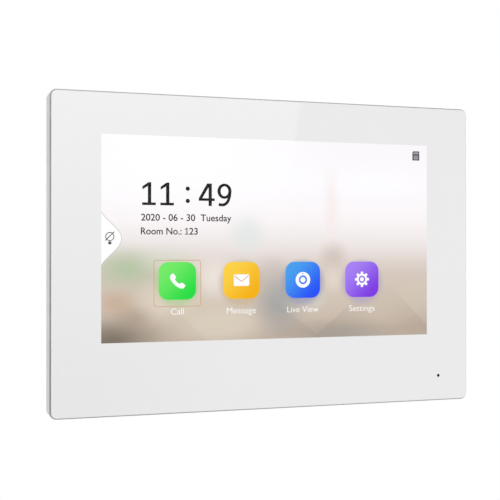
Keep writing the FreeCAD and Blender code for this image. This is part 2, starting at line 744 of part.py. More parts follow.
def make_display_fittings():
    """The two flexible strips, and the brackets and screws that hold the tray in the frame."""
    tray_top = "screen_z + tray_height / 2"
    folded_strip("lcd_flex", "-20", "20", tray_top + " - 0.7", "tray_front - 0.4")
    folded_strip("touch_flex", "-62", "-50", tray_top + " - 0.5", GLASS_BACK + " - 0.05")
    sockets = Piece("flex_sockets")
    socket_top = "flex_end - edge_gap"
    sockets.add([span(left, right, "flex_socket_low", socket_top)
                 for left, right in (("-20.5", "20.5"), ("-62.5", "-49.5"))],
                MAIN_BOARD_FRONT, MAIN_BOARD_FRONT + " + 1")
    brackets = Piece("lcd_brackets")
    seat = "tray_back - bracket_sheet"
    brackets.add([rounded("12", "9", "1", side + "(bracket_x - 1.6)", z)
                  for side in ("", "-") for z in ("bracket_low", "bracket_high")], seat, "tray_back")
    brackets.cut(circles("small_screw_shank + fit_gap", BRACKETS), seat + " - cut_past",
                 "tray_back + cut_past")
    screws("lcd_screws", BRACKETS, seat, "+", "bracket_screw_length")


def screws(label, points, seat, towards, length):
    """Small slotted screws whose heads rest at the depth seat and whose shanks run towards "+" or "-"."""
    group = Piece(label)
    away = "-" if towards == "+" else "+"
    head_end = "%s %s small_head_height" % (seat, away)
    shank_end = "%s %s %s" % (seat, towards, length)
    slot_floor = "%s %s small_slot_depth" % (head_end, towards)
    slot_end = "%s %s cut_past" % (head_end, away)
    slots = [rectangle("small_slot_length", "small_slot_width", x, z) for x, z in points]
    heads, shanks = circles("small_screw_head", points), circles("small_screw_shank", points)
    if towards == "+":
        group.add(heads, head_end, seat).add(shanks, seat, shank_end).cut(slots, slot_end, slot_floor)
    else:
        group.add(heads, seat, head_end).add(shanks, shank_end, seat).cut(slots, slot_floor, slot_end)


# ---- electronics ----

def make_main_board():
    """Upper circuit board with the processor, memory, radio module, clock cell and capacitors."""
    board = Piece("main_board")
    board.add([span("-main_board_width / 2", "main_board_width / 2", "main_board_low", "main_board_high")]
              + circles("small_screw_shank + fit_gap", MAIN_POSTS), "main_board_back", MAIN_BOARD_FRONT)
    screws("board_screws", MAIN_POSTS, MAIN_BOARD_FRONT, "-", "board_screw_length")
    # label, places as middle x, middle z, width and length, height, and distance from the board
    blocks = [
        ("processor", [("-8", "35", "19", "19")], "1.4", "0"),
        ("thermal_pad", [("-8", "35", "16", "16")], "0.5", "1.4"),
        ("heat_spreader", [("-8", "35", "40", "28")], "1.0", "1.9"),
        ("memory_chips", [("24", "28", "10", "13"), ("24", "44", "10", "13"), ("38", "44", "9", "11")], "1.2",
         "0"),
        ("wifi_module", [("62", "40", "13", "15")], "2.2", "0"),
    ]
    for label, places, height, lift in blocks:
        top = "main_board_back - %s" % lift
        block = Piece(label)
        block.add([rounded(width, length, "0.4", x, z) for x, z, width, length in places],
                  "%s - %s" % (top, height), top)
    make_clock_cell()
    cans = Piece("filter_capacitors")
    places = [(str(x), "51") for x in (-52, -44, -36, 50, 58)]
    foot = "main_board_back - can_foot"
    cans.add(circles("can_radius", places), "main_board_back - can_height", foot)
    cans.add([rectangle("2 * can_radius + can_foot", "2 * can_radius + can_foot", x, z) for x, z in places],
             foot, "main_board_back")


def make_clock_cell():
    """Coin cell of the clock and its slotted holder."""
    where = ("cell_x", "cell_z")
    behind = "main_board_back - 2.7"
    holder = Piece("clock_cell_holder")
    holder.add([circle("7.2")], "main_board_back - 2.6", "main_board_back", at=where)
    holder.cut([circle("6.35")], behind, "main_board_back - 0.3", at=where)
    holder.cut([rectangle("16", "4")], behind, "main_board_back - 1.2", at=where)
    cell = Piece("clock_cell")
    cell.add([circle("6.25")], "main_board_back - 2.3", "main_board_back - 0.3", at=where)


def make_io_board():
    """Lower circuit board with the transformer, the card socket and the flat cable to the main board."""
    board = Piece("io_board")
    board.add([span("io_board_left", "io_board_right", "io_board_low", "io_board_high")]
              + circles("small_screw_shank + fit_gap", IO_POSTS), "io_board_back", IO_BOARD_FRONT)
    screws("io_board_screws", IO_POSTS, IO_BOARD_FRONT, "-", "board_screw_length")
    transformer = Piece("supply_transformer")
    coil_front = "io_board_back - 0.8"
    transformer.add([rounded("9", "12", "0.6", "transformer_x", "transformer_z")], "io_board_back - 6.6",
                    coil_front)
    transformer.add([rectangle("9", "9", "transformer_x", "transformer_z")], coil_front, "io_board_back")
    socket = Piece("card_socket")
    socket.add([span("card_x - 7", "card_x + 7", "io_board_low", "-51.5")], "io_board_back - 1.5",
               "io_board_back")
    socket.cut([span("card_x - 5.7", "card_x + 5.7", "io_board_low - cut_past", "-53")],
               "io_board_back - 1.1", "io_board_back - 0.3")
    ribbon_back = MAIN_BOARD_FRONT + " + ribbon_rise"
    ribbon = Piece("link_cable")
    ribbon.add([span("ribbon_left", "ribbon_right", "ribbon_low", "ribbon_high")],
               ribbon_back, ribbon_back + " + flex_thickness")
    clamps = Piece("link_sockets")
    left, right = "ribbon_left - 0.5", "ribbon_right + 0.5"
    clamps.add([span(left, right, "-50.6", "-46.6")], "io_board_back - 1.6", "io_board_back")
    clamps.add([span(left, right, "17", "20")], MAIN_BOARD_FRONT, MAIN_BOARD_FRONT + " + 1.2")
    clamps.cut([span("ribbon_left - edge_gap", "ribbon_right + edge_gap", "-50.5", "20.1")],
               ribbon_back + " - edge_gap", ribbon_back + " + flex_thickness + edge_gap")


def make_network_socket():
    """Network socket that opens upwards: a sheet-metal shell, its moulded insert and eight contacts."""
    left, right = "socket_x - socket_width / 2", "socket_x + socket_width / 2"
    shell = Piece("network_socket_shell")
    shell.add([span(left, right, "socket_low", "socket_high")], "socket_back", "io_board_back")
    shell.cut([span(left + " + shell_sheet", right + " - shell_sheet",
                    "socket_low + shell_sheet", "socket_high + cut_past")],
              "socket_back + shell_sheet", "io_board_back + cut_past")
    insert = Piece("network_socket_insert")
    inset = "shell_sheet + thread_gap"
    insert.add([span("%s + %s" % (left, inset), "%s - (%s)" % (right, inset),
                     "socket_low + " + inset, "socket_high - edge_gap")],
               "socket_back + " + inset, "io_board_back")
    floor_z = "socket_low + 3"
    plug_room, latch_room = "5.9", "3.1"
    insert.cut([span("socket_x - " + plug_room, "socket_x + " + plug_room, floor_z, "socket_high")],
               "socket_back + 1.9", "socket_back + 8.4")
    insert.cut([span("socket_x - " + latch_room, "socket_x + " + latch_room, floor_z, "socket_high")],
               "socket_back + 0.9", "socket_back + 2")
    contacts = Piece("network_contacts")
    pitch = 1.02
    places = ["socket_x + %g" % (pitch * (n - 3.5)) for n in range(8)]
    contacts.add([span(x + " - 0.2", x + " + 0.2", floor_z + " + thread_gap",
                       "socket_high - 2") for x in places],
                 "socket_back + 7.9", "socket_back + 8.3")


def make_terminal(name, poles, middle):
    """A pluggable screw terminal: the header on the board, its pins, the plug and the plug's screws."""
    half = "%s * terminal_pitch / 2" % poles
    left, right = "%s - %s" % (middle, half), "%s + %s" % (middle, half)
    front = "io_board_back - 1.2"
    pin_depth = "(terminal_back + %s) / 2" % front
    places = ["%s + %g * terminal_pitch" % (middle, n - (poles - 1) / 2) for n in range(poles)]
    header = Piece(name + "_header")
    header.add([span(left + " - header_end", right + " + header_end", "header_low", "header_high")],
               "terminal_back", "io_board_back")
    header.cut([span(left + " - 0.6", right + " + 0.6", "header_low + header_end", "header_high + cut_past")],
               "terminal_back + header_wall", front)
    header.cut([circle("pin_radius + thread_gap", x, "-(%s)" % pin_depth) for x in places],
               "header_low - cut_past", "header_low + header_end + cut_past", "top")
    pins = Piece(name + "_pins")
    pins.add([circle("pin_radius", x, "-(%s)" % pin_depth) for x in places], "header_low", "header_high - 1",
             "top")
    plug = Piece(name + "_plug")
    plug_left, plug_right = left + " - 0.4", right + " + 0.4"
    plug_low = "header_low + 2.2"
    plug.add([span(plug_left, plug_right, plug_low, "plug_high")],
             "terminal_back + header_wall + fit_gap", front + " - fit_gap")
    plug.add([span(plug_left, plug_right, "header_high + 0.4", "plug_high")],
             "terminal_back + 0.5", "terminal_back + header_wall + fit_gap + cut_past")
    plug.cut([circle("pin_radius + fit_gap", x, "-(%s)" % pin_depth) for x in places],
             plug_low + " - cut_past", "header_high", "top")
    wire_depth, wire_holes_deep = "(terminal_back + 4.2)", "5.5"
    plug.cut([rectangle("2.2", "2.4", x, "-" + wire_depth) for x in places],
             "plug_high - " + wire_holes_deep, "plug_high + cut_past", "top")
    heads = [(x, "plug_high - clamp_drop") for x in places]
    plug.cut(circles("clamp_radius + cut_past", heads), "terminal_back + 0.4", "terminal_back + 3.2")
    clamps = Piece(name + "_plug_screws")
    clamp_back = "terminal_back + 0.9"
    clamps.add(circles("clamp_radius", heads), clamp_back, "terminal_back + 2.9")
    clamps.cut([rectangle("0.35", "2.1", x, z) for x, z in heads], clamp_back + " - cut_past",
               clamp_back + " + 0.6")


def make_debug_header():
    """Small four-pole service header beside the alarm terminal."""
    header = Piece("debug_header")
    back = "io_board_back - 5"
    header.add([rectangle("debug_width", "debug_height", "debug_x", "debug_z")], back, "io_board_back")
    header.cut([rectangle("debug_width - 2 * debug_wall", "debug_height - 2 * debug_wall", "debug_x",
                          "debug_z")],
               back + " - cut_past", "io_board_back - 1")
    pitch, pin = 1.25, "0.4"
    header.add([rectangle(pin, pin, "debug_x + %g" % (pitch * (n - 1.5)), "debug_z") for n in range(4)],
               "io_board_back - 4", "io_board_back - 0.9")


# ---- sound and card ----

def make_speaker():
    """Loudspeaker behind the cover's grille: gasket, basket, magnet and the cone that moves."""
    place = {"x": "speaker_x", "y": "-cavity_floor", "z": "speaker_z"}
    gasket = Piece("speaker_gasket", **place)
    gasket.turn([("speaker_radius - 1.5", "0"), ("speaker_radius", "0"), ("speaker_radius", "-0.5"),
                 ("speaker_radius - 1.5", "-0.5")])
    basket = Piece("speaker_frame", **place)
    basket.turn([("speaker_radius - 1.6", "-0.5"), ("speaker_radius", "-0.5"), ("speaker_radius", "-1.4"),
                 ("8.6", "-1.4"), ("7.4", "-4.6"), ("3.9", "-4.6"), ("3.9", "-4.1"), ("7", "-4.1"), ("8.3",
                                                                                                     "-1.2"),
                 ("speaker_radius - 1.6", "-1.2")])
    magnet = Piece("speaker_magnet", **place)
    magnet.turn([("0", "-4.7"), ("2.7", "-4.7"), ("2.7", "-6.6"), ("3.8", "-6.6"), ("3.8", "-4.7"),
                 ("6.4", "-4.7"),
                 ("6.4", "-7.4"), ("0", "-7.4")])
    cone = Piece("speaker_cone", **place)
    cone.turn([("0", "-2.2"), ("3.1", "-2.9"), ("7.6", "-1.1"), ("8", "-1.1"), ("3.4", "-3.3"),
               ("3.4", "-6.0"),
               ("3.1", "-6.0"), ("3.1", "-3.2"), ("0", "-2.5")])


def make_microphone():
    """Microphone capsule in a rubber boot that seals it to the hole in the glass."""
    place = {"x": "microphone_x", "y": "-(%s)" % GLASS_BACK, "z": "microphone_z"}
    boot = Piece("microphone_boot", **place)
    boot.turn([("microphone_hole", "0"), ("boot_neck", "0"), ("boot_neck", "1.6"), ("2.6", "1.6"),
               ("2.6", "5.0"),
               ("2.05", "5.0"), ("2.05", "3.0"), ("microphone_hole", "3.0")])
    capsule = Piece("microphone", **place)
    capsule.turn([("0", "3.1"), ("2", "3.1"), ("2", "4.8"), ("0", "4.8")])


def make_card_flap():
    """Flap over the memory card slot in the bottom wall, with a lip that enters the slot."""
    bottom = "-outer_height / 2"
    inner_face = bottom + " + flap_sheet"
    flap = Piece("card_flap")
    flap.add([rectangle("flap_width", "flap_front - flap_back", "card_x", "-(flap_back + flap_front) / 2")],
             bottom, inner_face, "top")
    flap.add([rectangle("flap_width - 3", "1.9", "card_x", "-(flap_back + 2.9)")], inner_face,
             inner_face + " + 0.7", "top")


def tube(label, points, diameter):
    """A wire along straight runs joined by arcs, each as large as its two runs allow."""
    radius_share, volume_tolerance = 0.45, 0.02
    corners = [V(value(x), -value(depth), value(z)) for x, depth, z in points]
    edges, start, radii = [], corners[0], []
    for before, corner, after in zip(corners, corners[1:], corners[2:]):
        u, v = before.sub(corner), after.sub(corner)
        reach = radius_share * min(u.Length, v.Length)
        half_turn = (math.pi - u.getAngle(v)) / 2
        radius = reach / math.tan(half_turn)
        radii.append(radius)
        u.normalize()
        v.normalize()
        enter, leave = corner + u * reach, corner + v * reach
        inward = (u + v).normalize()
        middle = corner + inward * (radius / math.cos(half_turn) - radius)
        edges += [Part.LineSegment(start, enter).toShape(), Part.Arc(enter, middle, leave).toShape()]
        start = leave
    edges.append(Part.LineSegment(start, corners[-1]).toShape())
    path = Part.Wire(edges)
    section = Part.Wire(Part.Circle(corners[0], corners[1].sub(corners[0]), diameter / 2).toShape())
    solid = path.makePipeShell([section], True, False)
    expected = math.pi * diameter ** 2 / 4 * path.Length
    if abs(solid.Volume - expected) > volume_tolerance * expected:
        raise RuntimeError("%s: the tube's volume is not its section times its length" % label)
    print("%-24s tightest bend %.1f wire diameters" % (label, min(radii) / diameter))
    return solid


def make_leads():
    """Wires of the speaker and the microphone, and the radio's aerial with its lead."""
    wire = 0.8
    speaker_routes = [
        [("speaker_x + 6.9", "7.7", "speaker_z + %g" % z), ("speaker_x + 11", "7.7", "speaker_z + %g" % z),
         ("-57", "8.7", "-55 + %g" % (wire * z)), ("-53.6", "9.4", "-56 + %g" % (wire * z)),
         ("-51", "9.4", "-56.2 + %g" % (wire * z))]
        for z in (1.5, -1.5)
    ]
    microphone_routes = [
        [("microphone_x + %g" % x, "8.7", "microphone_z"),
         ("microphone_x + %g" % x, "6.2", "microphone_z + 0.9"),
         ("microphone_x - 1.3 + %g" % x, "6", "microphone_z + 5.6 + %g" % x),
         ("78.9", "7", "-48.2 + %g" % (1.25 * x)), ("78.9", "9.85", "-48.2 + %g" % (1.25 * x))]
        for x in (wire, -wire)
    ]
    aerial_routes = [
        [("62", "6.2", "47.6"), ("62", "6.2", "52"), ("66", "6.2", "58"), ("66", "8.5", "64"),
         ("66", "9.2", "67.8")],
    ]
    for label, routes in (
        ("speaker_leads", speaker_routes),
        ("microphone_leads", microphone_routes),
        ("aerial_lead", aerial_routes),
    ):
        feature = doc.addObject("Part::Feature", label)
        feature.Label = label
        feature.Shape = Part.Compound([tube(label, route, wire) for route in routes])
        PIECES.append(feature)
    wall_inside = "outer_height / 2 - frame_wall"
    aerial = Piece("wifi_aerial")
    aerial.add([span("46", "82", wall_inside + " - 0.3", wall_inside)], "6.6", "11.8")


def make_case_screws():
    """Six screws that hold the cover to the frame, and the blank rating label beside them."""
    seat = "rear_face + case_screw_seat"
    head_back = seat + " - case_screw_dome"
    group = Piece("case_screws")
    group.add(circles("case_screw_head", CASE_SCREWS), head_back, seat)
    group.add(circles("case_screw_shank", CASE_SCREWS), seat, "case_screw_end")
    for width, height in (("case_cross_length", "case_cross_width"),
                          ("case_cross_width", "case_cross_length")):
        group.cut([rectangle(width, height, x, z) for x, z in CASE_SCREWS],
                  head_back + " - cut_past", head_back + " + case_cross_depth")
    label = Piece("rating_label")
    label.add([rounded("label_width", "label_height", "1.5", "vent_x", "label_z")], "rear_face - 0.1",
              "rear_face")


def check_and_export():
    """Stops on any failed object, then writes each sub-part's shape to parts/LABEL.step."""
    doc.recompute()
    for item in doc.Objects:
        if "Invalid" in item.State or "Error" in item.State:
            raise RuntimeError("%s (%s) failed to build" % (item.Name, item.Label))
    os.makedirs("parts", exist_ok=True)
    for old in os.listdir("parts"):
        os.remove(os.path.join("parts", old))
    for piece in PIECES:
        shape = piece.Shape
        if shape.isNull() or not shape.isValid() or shape.Volume <= 0:
            raise RuntimeError("%s is not a valid solid" % piece.Label)
        shape.exportStep(os.path.join("parts", piece.Label + ".step"))
        print("%-24s %2d solids %10.1f mm3" % (piece.Label, len(shape.Solids), shape.Volume))


make_wall_plate()
make_lock_catch()
make_rear_cover()
make_front_frame()
make_glass_and_ring()
make_display()
make_display_fittings()
make_main_board()
make_io_board()
make_network_socket()
make_terminal("power", 2, "power_x")
make_terminal("alarm", 10, "alarm_x")
make_debug_header()
make_speaker()
make_microphone()
make_card_flap()
make_leads()
make_case_screws()
check_and_export()
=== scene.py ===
"""Looks of the video intercom monitor: finishes for every CAD node, and the lit picture behind the glass.

Lengths are in millimetres and are turned into metres by MM. X and Z lie along the wall, and the glass
faces -Y. The picture's own places are counted from the middle of the lit window.
"""
import json
import math

import bpy
from mathutils import Matrix, Vector


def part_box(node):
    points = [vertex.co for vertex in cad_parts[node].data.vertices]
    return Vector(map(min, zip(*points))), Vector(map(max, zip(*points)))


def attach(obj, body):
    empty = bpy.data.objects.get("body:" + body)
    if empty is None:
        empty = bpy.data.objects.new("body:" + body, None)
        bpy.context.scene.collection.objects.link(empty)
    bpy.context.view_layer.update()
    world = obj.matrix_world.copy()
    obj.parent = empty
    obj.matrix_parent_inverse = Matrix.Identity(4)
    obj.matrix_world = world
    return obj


MM = 0.001

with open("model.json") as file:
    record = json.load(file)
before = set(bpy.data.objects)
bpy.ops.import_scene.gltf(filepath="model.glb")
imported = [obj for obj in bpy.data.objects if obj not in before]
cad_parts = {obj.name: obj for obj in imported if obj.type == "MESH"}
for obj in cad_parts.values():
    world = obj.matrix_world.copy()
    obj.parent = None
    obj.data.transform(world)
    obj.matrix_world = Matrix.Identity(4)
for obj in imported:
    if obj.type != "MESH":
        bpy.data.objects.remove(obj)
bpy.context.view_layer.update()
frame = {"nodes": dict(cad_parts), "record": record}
scene = bpy.context.scene

GLASS_LOW, GLASS_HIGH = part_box("cover_glass")
CELL_LOW, CELL_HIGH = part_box("lcd_cell")
MICROPHONE_LOW, MICROPHONE_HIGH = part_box("microphone")

# the clear window in the glass's white print, a little smaller than the display
PRINT_OVERLAP_X = 4.1 * MM
PRINT_OVERLAP_Z = 4.85 * MM
WINDOW_X = (CELL_LOW.x + CELL_HIGH.x) / 2
WINDOW_Z = (CELL_LOW.z + CELL_HIGH.z) / 2 - 0.1 * MM
WINDOW_HALF_WIDTH = (CELL_HIGH.x - CELL_LOW.x) / 2 - PRINT_OVERLAP_X
WINDOW_HALF_HEIGHT = (CELL_HIGH.z - CELL_LOW.z) / 2 - PRINT_OVERLAP_Z

# on the glass's back the print stops this far outside the window, so that it isn't seen through the glass
BACK_PRINT_SET_BACK = 1.5 * MM

# the microphone's hole in the glass is painted black as painted shade in the hole, as far as this from its
# middle
BORE_SHADE_RADIUS = 0.7 * MM

# how much of plain glass's mirroring the clear window keeps
WINDOW_MIRROR = 0.35

# the picture: where its middle is, its size, and how far from the wall its sheets lie
PICTURE_X = 0.4
PICTURE_Z = WINDOW_Z / MM
PICTURE_HALF_WIDTH = 80.5
PICTURE_HALF_HEIGHT = 47.5
PICTURE_DEPTH = -CELL_LOW.y / MM
SHEET = 0.03
WALLPAPER_DEPTH = PICTURE_DEPTH + 0.02
UI_DEPTH = PICTURE_DEPTH + 0.05
TOP_DEPTH = PICTURE_DEPTH + 0.1

# the row of tiles
ICON_WIDTH = 17.0
ICON_HEIGHT = 16.6
ICON_RADIUS = 4.3
ICON_PITCH = 29.7
ICON_Z = -18.5
LABEL_BASELINE = -33.3
LABEL_CAPITAL = 2.7

# the clock and the lines under it
CLOCK_BASELINE = 14.7
DATE_BASELINE = 7.95
ROOM_BASELINE = 1.95
LINE_CAPITAL = 2.9

# how far letters are thickened, or thinned, all round, as a share of their size
DARK_TEXT_WEIGHT = 0.012
LABEL_WEIGHT = -0.007

# stretches a texture along the depth of a flat piece, so that its cells go straight through
THROUGH = (1, 0.02, 1)


def linear(red, green, blue):
    """A colour given in 0..255 display values, as linear light."""
    def channel(v):
        v /= 255
        return v / 12.92 if v <= 0.04045 else ((v + 0.055) / 1.055) ** 2.4
    return channel(red), channel(green), channel(blue), 1.0


def toned(colour, factor, lift=0.0):
    """The colour darkened or lightened by a factor, then lifted by an amount."""
    return tuple(min(1.0, c * factor + lift) for c in colour[:3]) + (1.0,)


# ---------------------------------------------------------------- node materials

class Look:
    """A Principled material fed by procedural nodes in the object's own space."""

    def __init__(self, name, colour=None, roughness=0.5, metallic=0.0, **sockets):
        self.material = bpy.data.materials.new(name)
        self.material.use_nodes = True
        self.tree = self.material.node_tree
        self.surface = self.tree.nodes["Principled BSDF"]
        self.colour = colour
        if colour:
            self.set("Base Color", colour)
        self.set("Roughness", roughness)
        self.set("Metallic", metallic)
        for socket, value in sockets.items():
            self.set(socket.replace("_", " "), value)
        self.place = self.node("ShaderNodeTexCoord").outputs["Object"]

    def node(self, kind, **settings):
        """A new node with the given settings."""
        made = self.tree.nodes.new(kind)
        for setting, value in settings.items():
            setattr(made, setting, value)
        return made

    def feed(self, socket, value):
        """Gives a socket a number, a colour or another node's output."""
        if isinstance(value, bpy.types.NodeSocket):
            self.tree.links.new(value, socket)
        else:
            socket.default_value = value

    def set(self, name, value):
        """Gives one of the shader's own sockets a value or a node's output."""
        self.feed(self.surface.inputs[name], value)

    def stretched(self, scale):
        """The object's own space scaled by a factor on each axis."""
        mapping = self.node("ShaderNodeMapping")
        self.feed(mapping.inputs["Vector"], self.place)
        self.feed(mapping.inputs["Scale"], scale)
        return mapping.outputs["Vector"]

    def noise(self, size, detail=3.0, stretch=(1, 1, 1), roughness=0.55):
        """Noise with features of about the given size in millimetres."""
        noise = self.node("ShaderNodeTexNoise")
        self.feed(noise.inputs["Vector"], self.stretched(stretch))
        self.feed(noise.inputs["Scale"], 1 / (size * MM))
        self.feed(noise.inputs["Detail"], detail)
        self.feed(noise.inputs["Roughness"], roughness)
        return noise.outputs["Fac"]

    def cells(self, size, stretch=(1, 1, 1), feature="F1", output="Distance"):
        """Cells of about the given size in millimetres."""
        cells = self.node("ShaderNodeTexVoronoi", feature=feature)
        self.feed(cells.inputs["Vector"], self.stretched(stretch))
        self.feed(cells.inputs["Scale"], 1 / (size * MM))
        return cells.outputs[output]

    def map(self, value, low, high, to_low, to_high, smooth=False):
        """A number carried from one range to another, held at its ends."""
        kind = "SMOOTHSTEP" if smooth else "LINEAR"
        mapped = self.node("ShaderNodeMapRange", interpolation_type=kind, clamp=True)
        for socket, number in zip(("Value", "From Min", "From Max", "To Min", "To Max"),
                                  (value, low, high, to_low, to_high)):
            self.feed(mapped.inputs[socket], number)
        return mapped.outputs["Result"]

    def maths(self, operation, first, second=0.0):
        """The result of one sum on numbers or node outputs."""
        maths = self.node("ShaderNodeMath", operation=operation)
        self.feed(maths.inputs[0], first)
        self.feed(maths.inputs[1], second)
        return maths.outputs[0]

    def mix(self, factor, first, second):
        """A colour between two others. The node's sockets 6, 7 and 2 are the ones for colours."""
        mixed = self.node("ShaderNodeMix", data_type="RGBA")
        self.feed(mixed.inputs[0], factor)
        self.feed(mixed.inputs[6], first)
        self.feed(mixed.inputs[7], second)
        return mixed.outputs[2]

    def axes(self, place=None):
        """The three parts of a place, or of the object's own space."""
        parts = self.node("ShaderNodeSeparateXYZ")
        self.feed(parts.inputs[0], place or self.place)
        return parts.outputs

    def bump(self, height, depth):
        """Relief of the given depth in millimetres, added to any relief already there."""
        relief = self.node("ShaderNodeBump")
        normal = self.surface.inputs["Normal"]
        if normal.is_linked:
            self.feed(relief.inputs["Normal"], normal.links[0].from_socket)
        self.feed(relief.inputs["Height"], height)
        self.feed(relief.inputs["Distance"], depth * MM)
        self.feed(normal, relief.outputs["Normal"])
        return self

    def vary(self, factor, share):
        """Darkens and lightens the colour by a share of itself, as the factor goes from 0 to 1."""
        dark, light = toned(self.colour, 1 - share), toned(self.colour, 1 + share)
        self.set("Base Color", self.mix(self.map(factor, 0.3, 0.7, 0.0, 1.0), dark, light))
        return self


def moulded(name, colour, roughness=0.5, grain=0.3, relief=0.012, **sockets):
    """Injection-moulded plastic with a fine spark-eroded grain and slow changes in tone."""
    look = Look(name, colour, roughness, **sockets)
    look.vary(look.noise(35, 2), 0.02)
    look.set("Roughness", look.map(look.noise(6, 4), 0.25, 0.75, roughness - 0.06, roughness + 0.08))
    look.bump(look.noise(grain, 3, roughness=0.7), relief)
    return look.bump(look.cells(grain * 2.2), relief * 0.5)


def sheet_metal(name, colour, roughness=0.32, brushed=(1, 1, 40), marks=0.5, relief=0.004):
    """Rolled or brushed metal, with marks stretched along one axis and faint stains."""
    look = Look(name, colour, roughness, metallic=1.0)
    lines = look.noise(marks * 12, 6, stretch=brushed)
    look.vary(lines, 0.08)
    stains = look.noise(14, 4)
    rough = look.maths("ADD", look.map(lines, 0.3, 0.7, -0.07, 0.07),
                       look.map(stains, 0.3, 0.75, roughness - 0.05, roughness + 0.12))
    look.set("Roughness", rough)
    return look.bump(lines, relief)


def zinc_plate(name, colour):
    """Galvanised steel: a soft spangle, rolling marks and dull patches."""
    look = Look(name, colour, 0.36, metallic=1.0)
    crystals = look.cells(5.5, output="Color")
    tone = look.axes(crystals)[0]
    share = look.map(tone, 0.0, 1.0, 0.0, 0.55)
    look.set("Base Color", look.mix(share, toned(colour, 0.86), toned(colour, 1.1)))
    dullness = look.map(look.noise(9, 4), 0.3, 0.7, -0.03, 0.08)
    look.set("Roughness", look.maths("ADD", look.map(tone, 0.0, 1.0, 0.26, 0.4), dullness))
    look.bump(look.noise(0.8, 5, stretch=(1, 1, 14)), 0.006)
    return look


def turned_metal(name, colour, roughness=0.28):
    """Screws, rivets and pins: bright plating with fine scuffs."""
    look = Look(name, colour, roughness, metallic=1.0)
    look.vary(look.noise(0.9, 4), 0.1)
    look.set("Roughness", look.map(look.noise(0.5, 3), 0.3, 0.7, roughness - 0.08, roughness + 0.16))
    return look.bump(look.noise(0.35, 3, stretch=(1, 6, 1)), 0.008)


def circuit_board(name, colour):
    """Solder mask over copper tracks, with tinned holes."""
    look = Look(name, colour, 0.3, Coat_Weight=0.35, Coat_Roughness=0.12)
    tracks = look.map(look.cells(2.6, THROUGH, "DISTANCE_TO_EDGE"), 0.03, 0.06, 1.0, 0.0)
    vias = look.map(look.cells(4.2, THROUGH), 0.07, 0.1, 1.0, 0.0)
    masked = look.mix(tracks, colour, toned(colour, 1.9, 0.01))
    look.set("Base Color", look.mix(vias, masked, (0.72, 0.68, 0.6, 1)))
    look.set("Metallic", look.map(vias, 0.0, 1.0, 0.0, 0.8))
    look.bump(tracks, 0.02)
    return look


def package(name, colour):
    """Chip package: dull epoxy with a fine sandy surface."""
    look = Look(name, colour, 0.55)
    look.vary(look.noise(3, 3), 0.2)
    return look.bump(look.noise(0.12, 3), 0.01)


def soft_rubber(name, colour, roughness=0.65):
    """Rubber, foam or wire insulation: dull, slightly mottled, with a fine skin."""
    look = Look(name, colour, roughness, Sheen_Weight=0.15)
    look.vary(look.noise(2.5, 4), 0.12)
    return look.bump(look.noise(0.25, 4), 0.015)


def film(name, colour, roughness=0.25):
    """Flexible circuit: tinted film over parallel copper tracks."""
    look = Look(name, colour, roughness, Coat_Weight=0.5, Coat_Roughness=0.1)
    wave = look.node("ShaderNodeTexWave", bands_direction="X")
    look.feed(wave.inputs["Vector"], look.place)
    look.feed(wave.inputs["Scale"], 1 / (2.2 * MM) / 3)
    lines = look.map(wave.outputs["Fac"], 0.45, 0.55, 0.0, 1.0)
    look.set("Base Color", look.mix(lines, colour, toned(colour, 0.6)))
    return look.bump(lines, 0.02)


def printed_glass(name):
    """White-printed glossy glass whose window is clear and weakly mirrored, as if coated; the microphone's
    hole is painted black as painted shade.
    """
    look = Look(name, linear(244, 244, 244), 0.025, IOR=1.5)
    look.vary(look.noise(60, 2), 0.004)
    white = look.surface.inputs["Base Color"].links[0].from_socket
    look.bump(look.noise(22, 2), 0.002)
    x, y, z = look.axes()
    front = look.maths("LESS_THAN", y, (GLASS_LOW.y + GLASS_HIGH.y) / 2)
    set_back = look.map(front, 0, 1, BACK_PRINT_SET_BACK, 0)
    outside_x = look.maths("GREATER_THAN", look.maths("ABSOLUTE", look.maths("SUBTRACT", x, WINDOW_X)),
                           look.maths("ADD", set_back, WINDOW_HALF_WIDTH))
    outside_z = look.maths("GREATER_THAN", look.maths("ABSOLUTE", look.maths("SUBTRACT", z, WINDOW_Z)),
                           look.maths("ADD", set_back, WINDOW_HALF_HEIGHT))
    printed = look.maths("MAXIMUM", outside_x, outside_z)
    from_bore_x = look.maths("SUBTRACT", x, (MICROPHONE_LOW.x + MICROPHONE_HIGH.x) / 2)
    from_bore_z = look.maths("SUBTRACT", z, (MICROPHONE_LOW.z + MICROPHONE_HIGH.z) / 2)
    from_bore = look.maths("SQRT", look.maths("ADD", look.maths("MULTIPLY", from_bore_x, from_bore_x),
                                              look.maths("MULTIPLY", from_bore_z, from_bore_z)))
    # painted shade: the glass round the microphone's hole is painted near-black so that the hole looks dark
    bore_shade_mask = look.maths("LESS_THAN", from_bore, BORE_SHADE_RADIUS)
    look.set("Base Color", look.mix(bore_shade_mask, white, (0.004, 0.004, 0.004, 1)))
    fresnel = look.node("ShaderNodeFresnel")
    look.feed(fresnel.inputs["IOR"], 1.45)
    mirror = look.maths("MULTIPLY", look.maths("MULTIPLY", fresnel.outputs[0], front), WINDOW_MIRROR)
    glossy = look.node("ShaderNodeBsdfGlossy")
    look.feed(glossy.inputs["Roughness"], 0.03)
    clear = look.node("ShaderNodeMixShader")
    look.feed(clear.inputs[0], mirror)
    look.feed(clear.inputs[1], look.node("ShaderNodeBsdfTransparent").outputs[0])
    look.feed(clear.inputs[2], glossy.outputs[0])
    whole = look.node("ShaderNodeMixShader")
    look.feed(whole.inputs[0], printed)
    look.feed(whole.inputs[1], clear.outputs[0])
    look.feed(whole.inputs[2], look.surface.outputs[0])
    output = look.tree.nodes["Material Output"]
    look.feed(output.inputs["Surface"], whole.outputs[0])
    return look


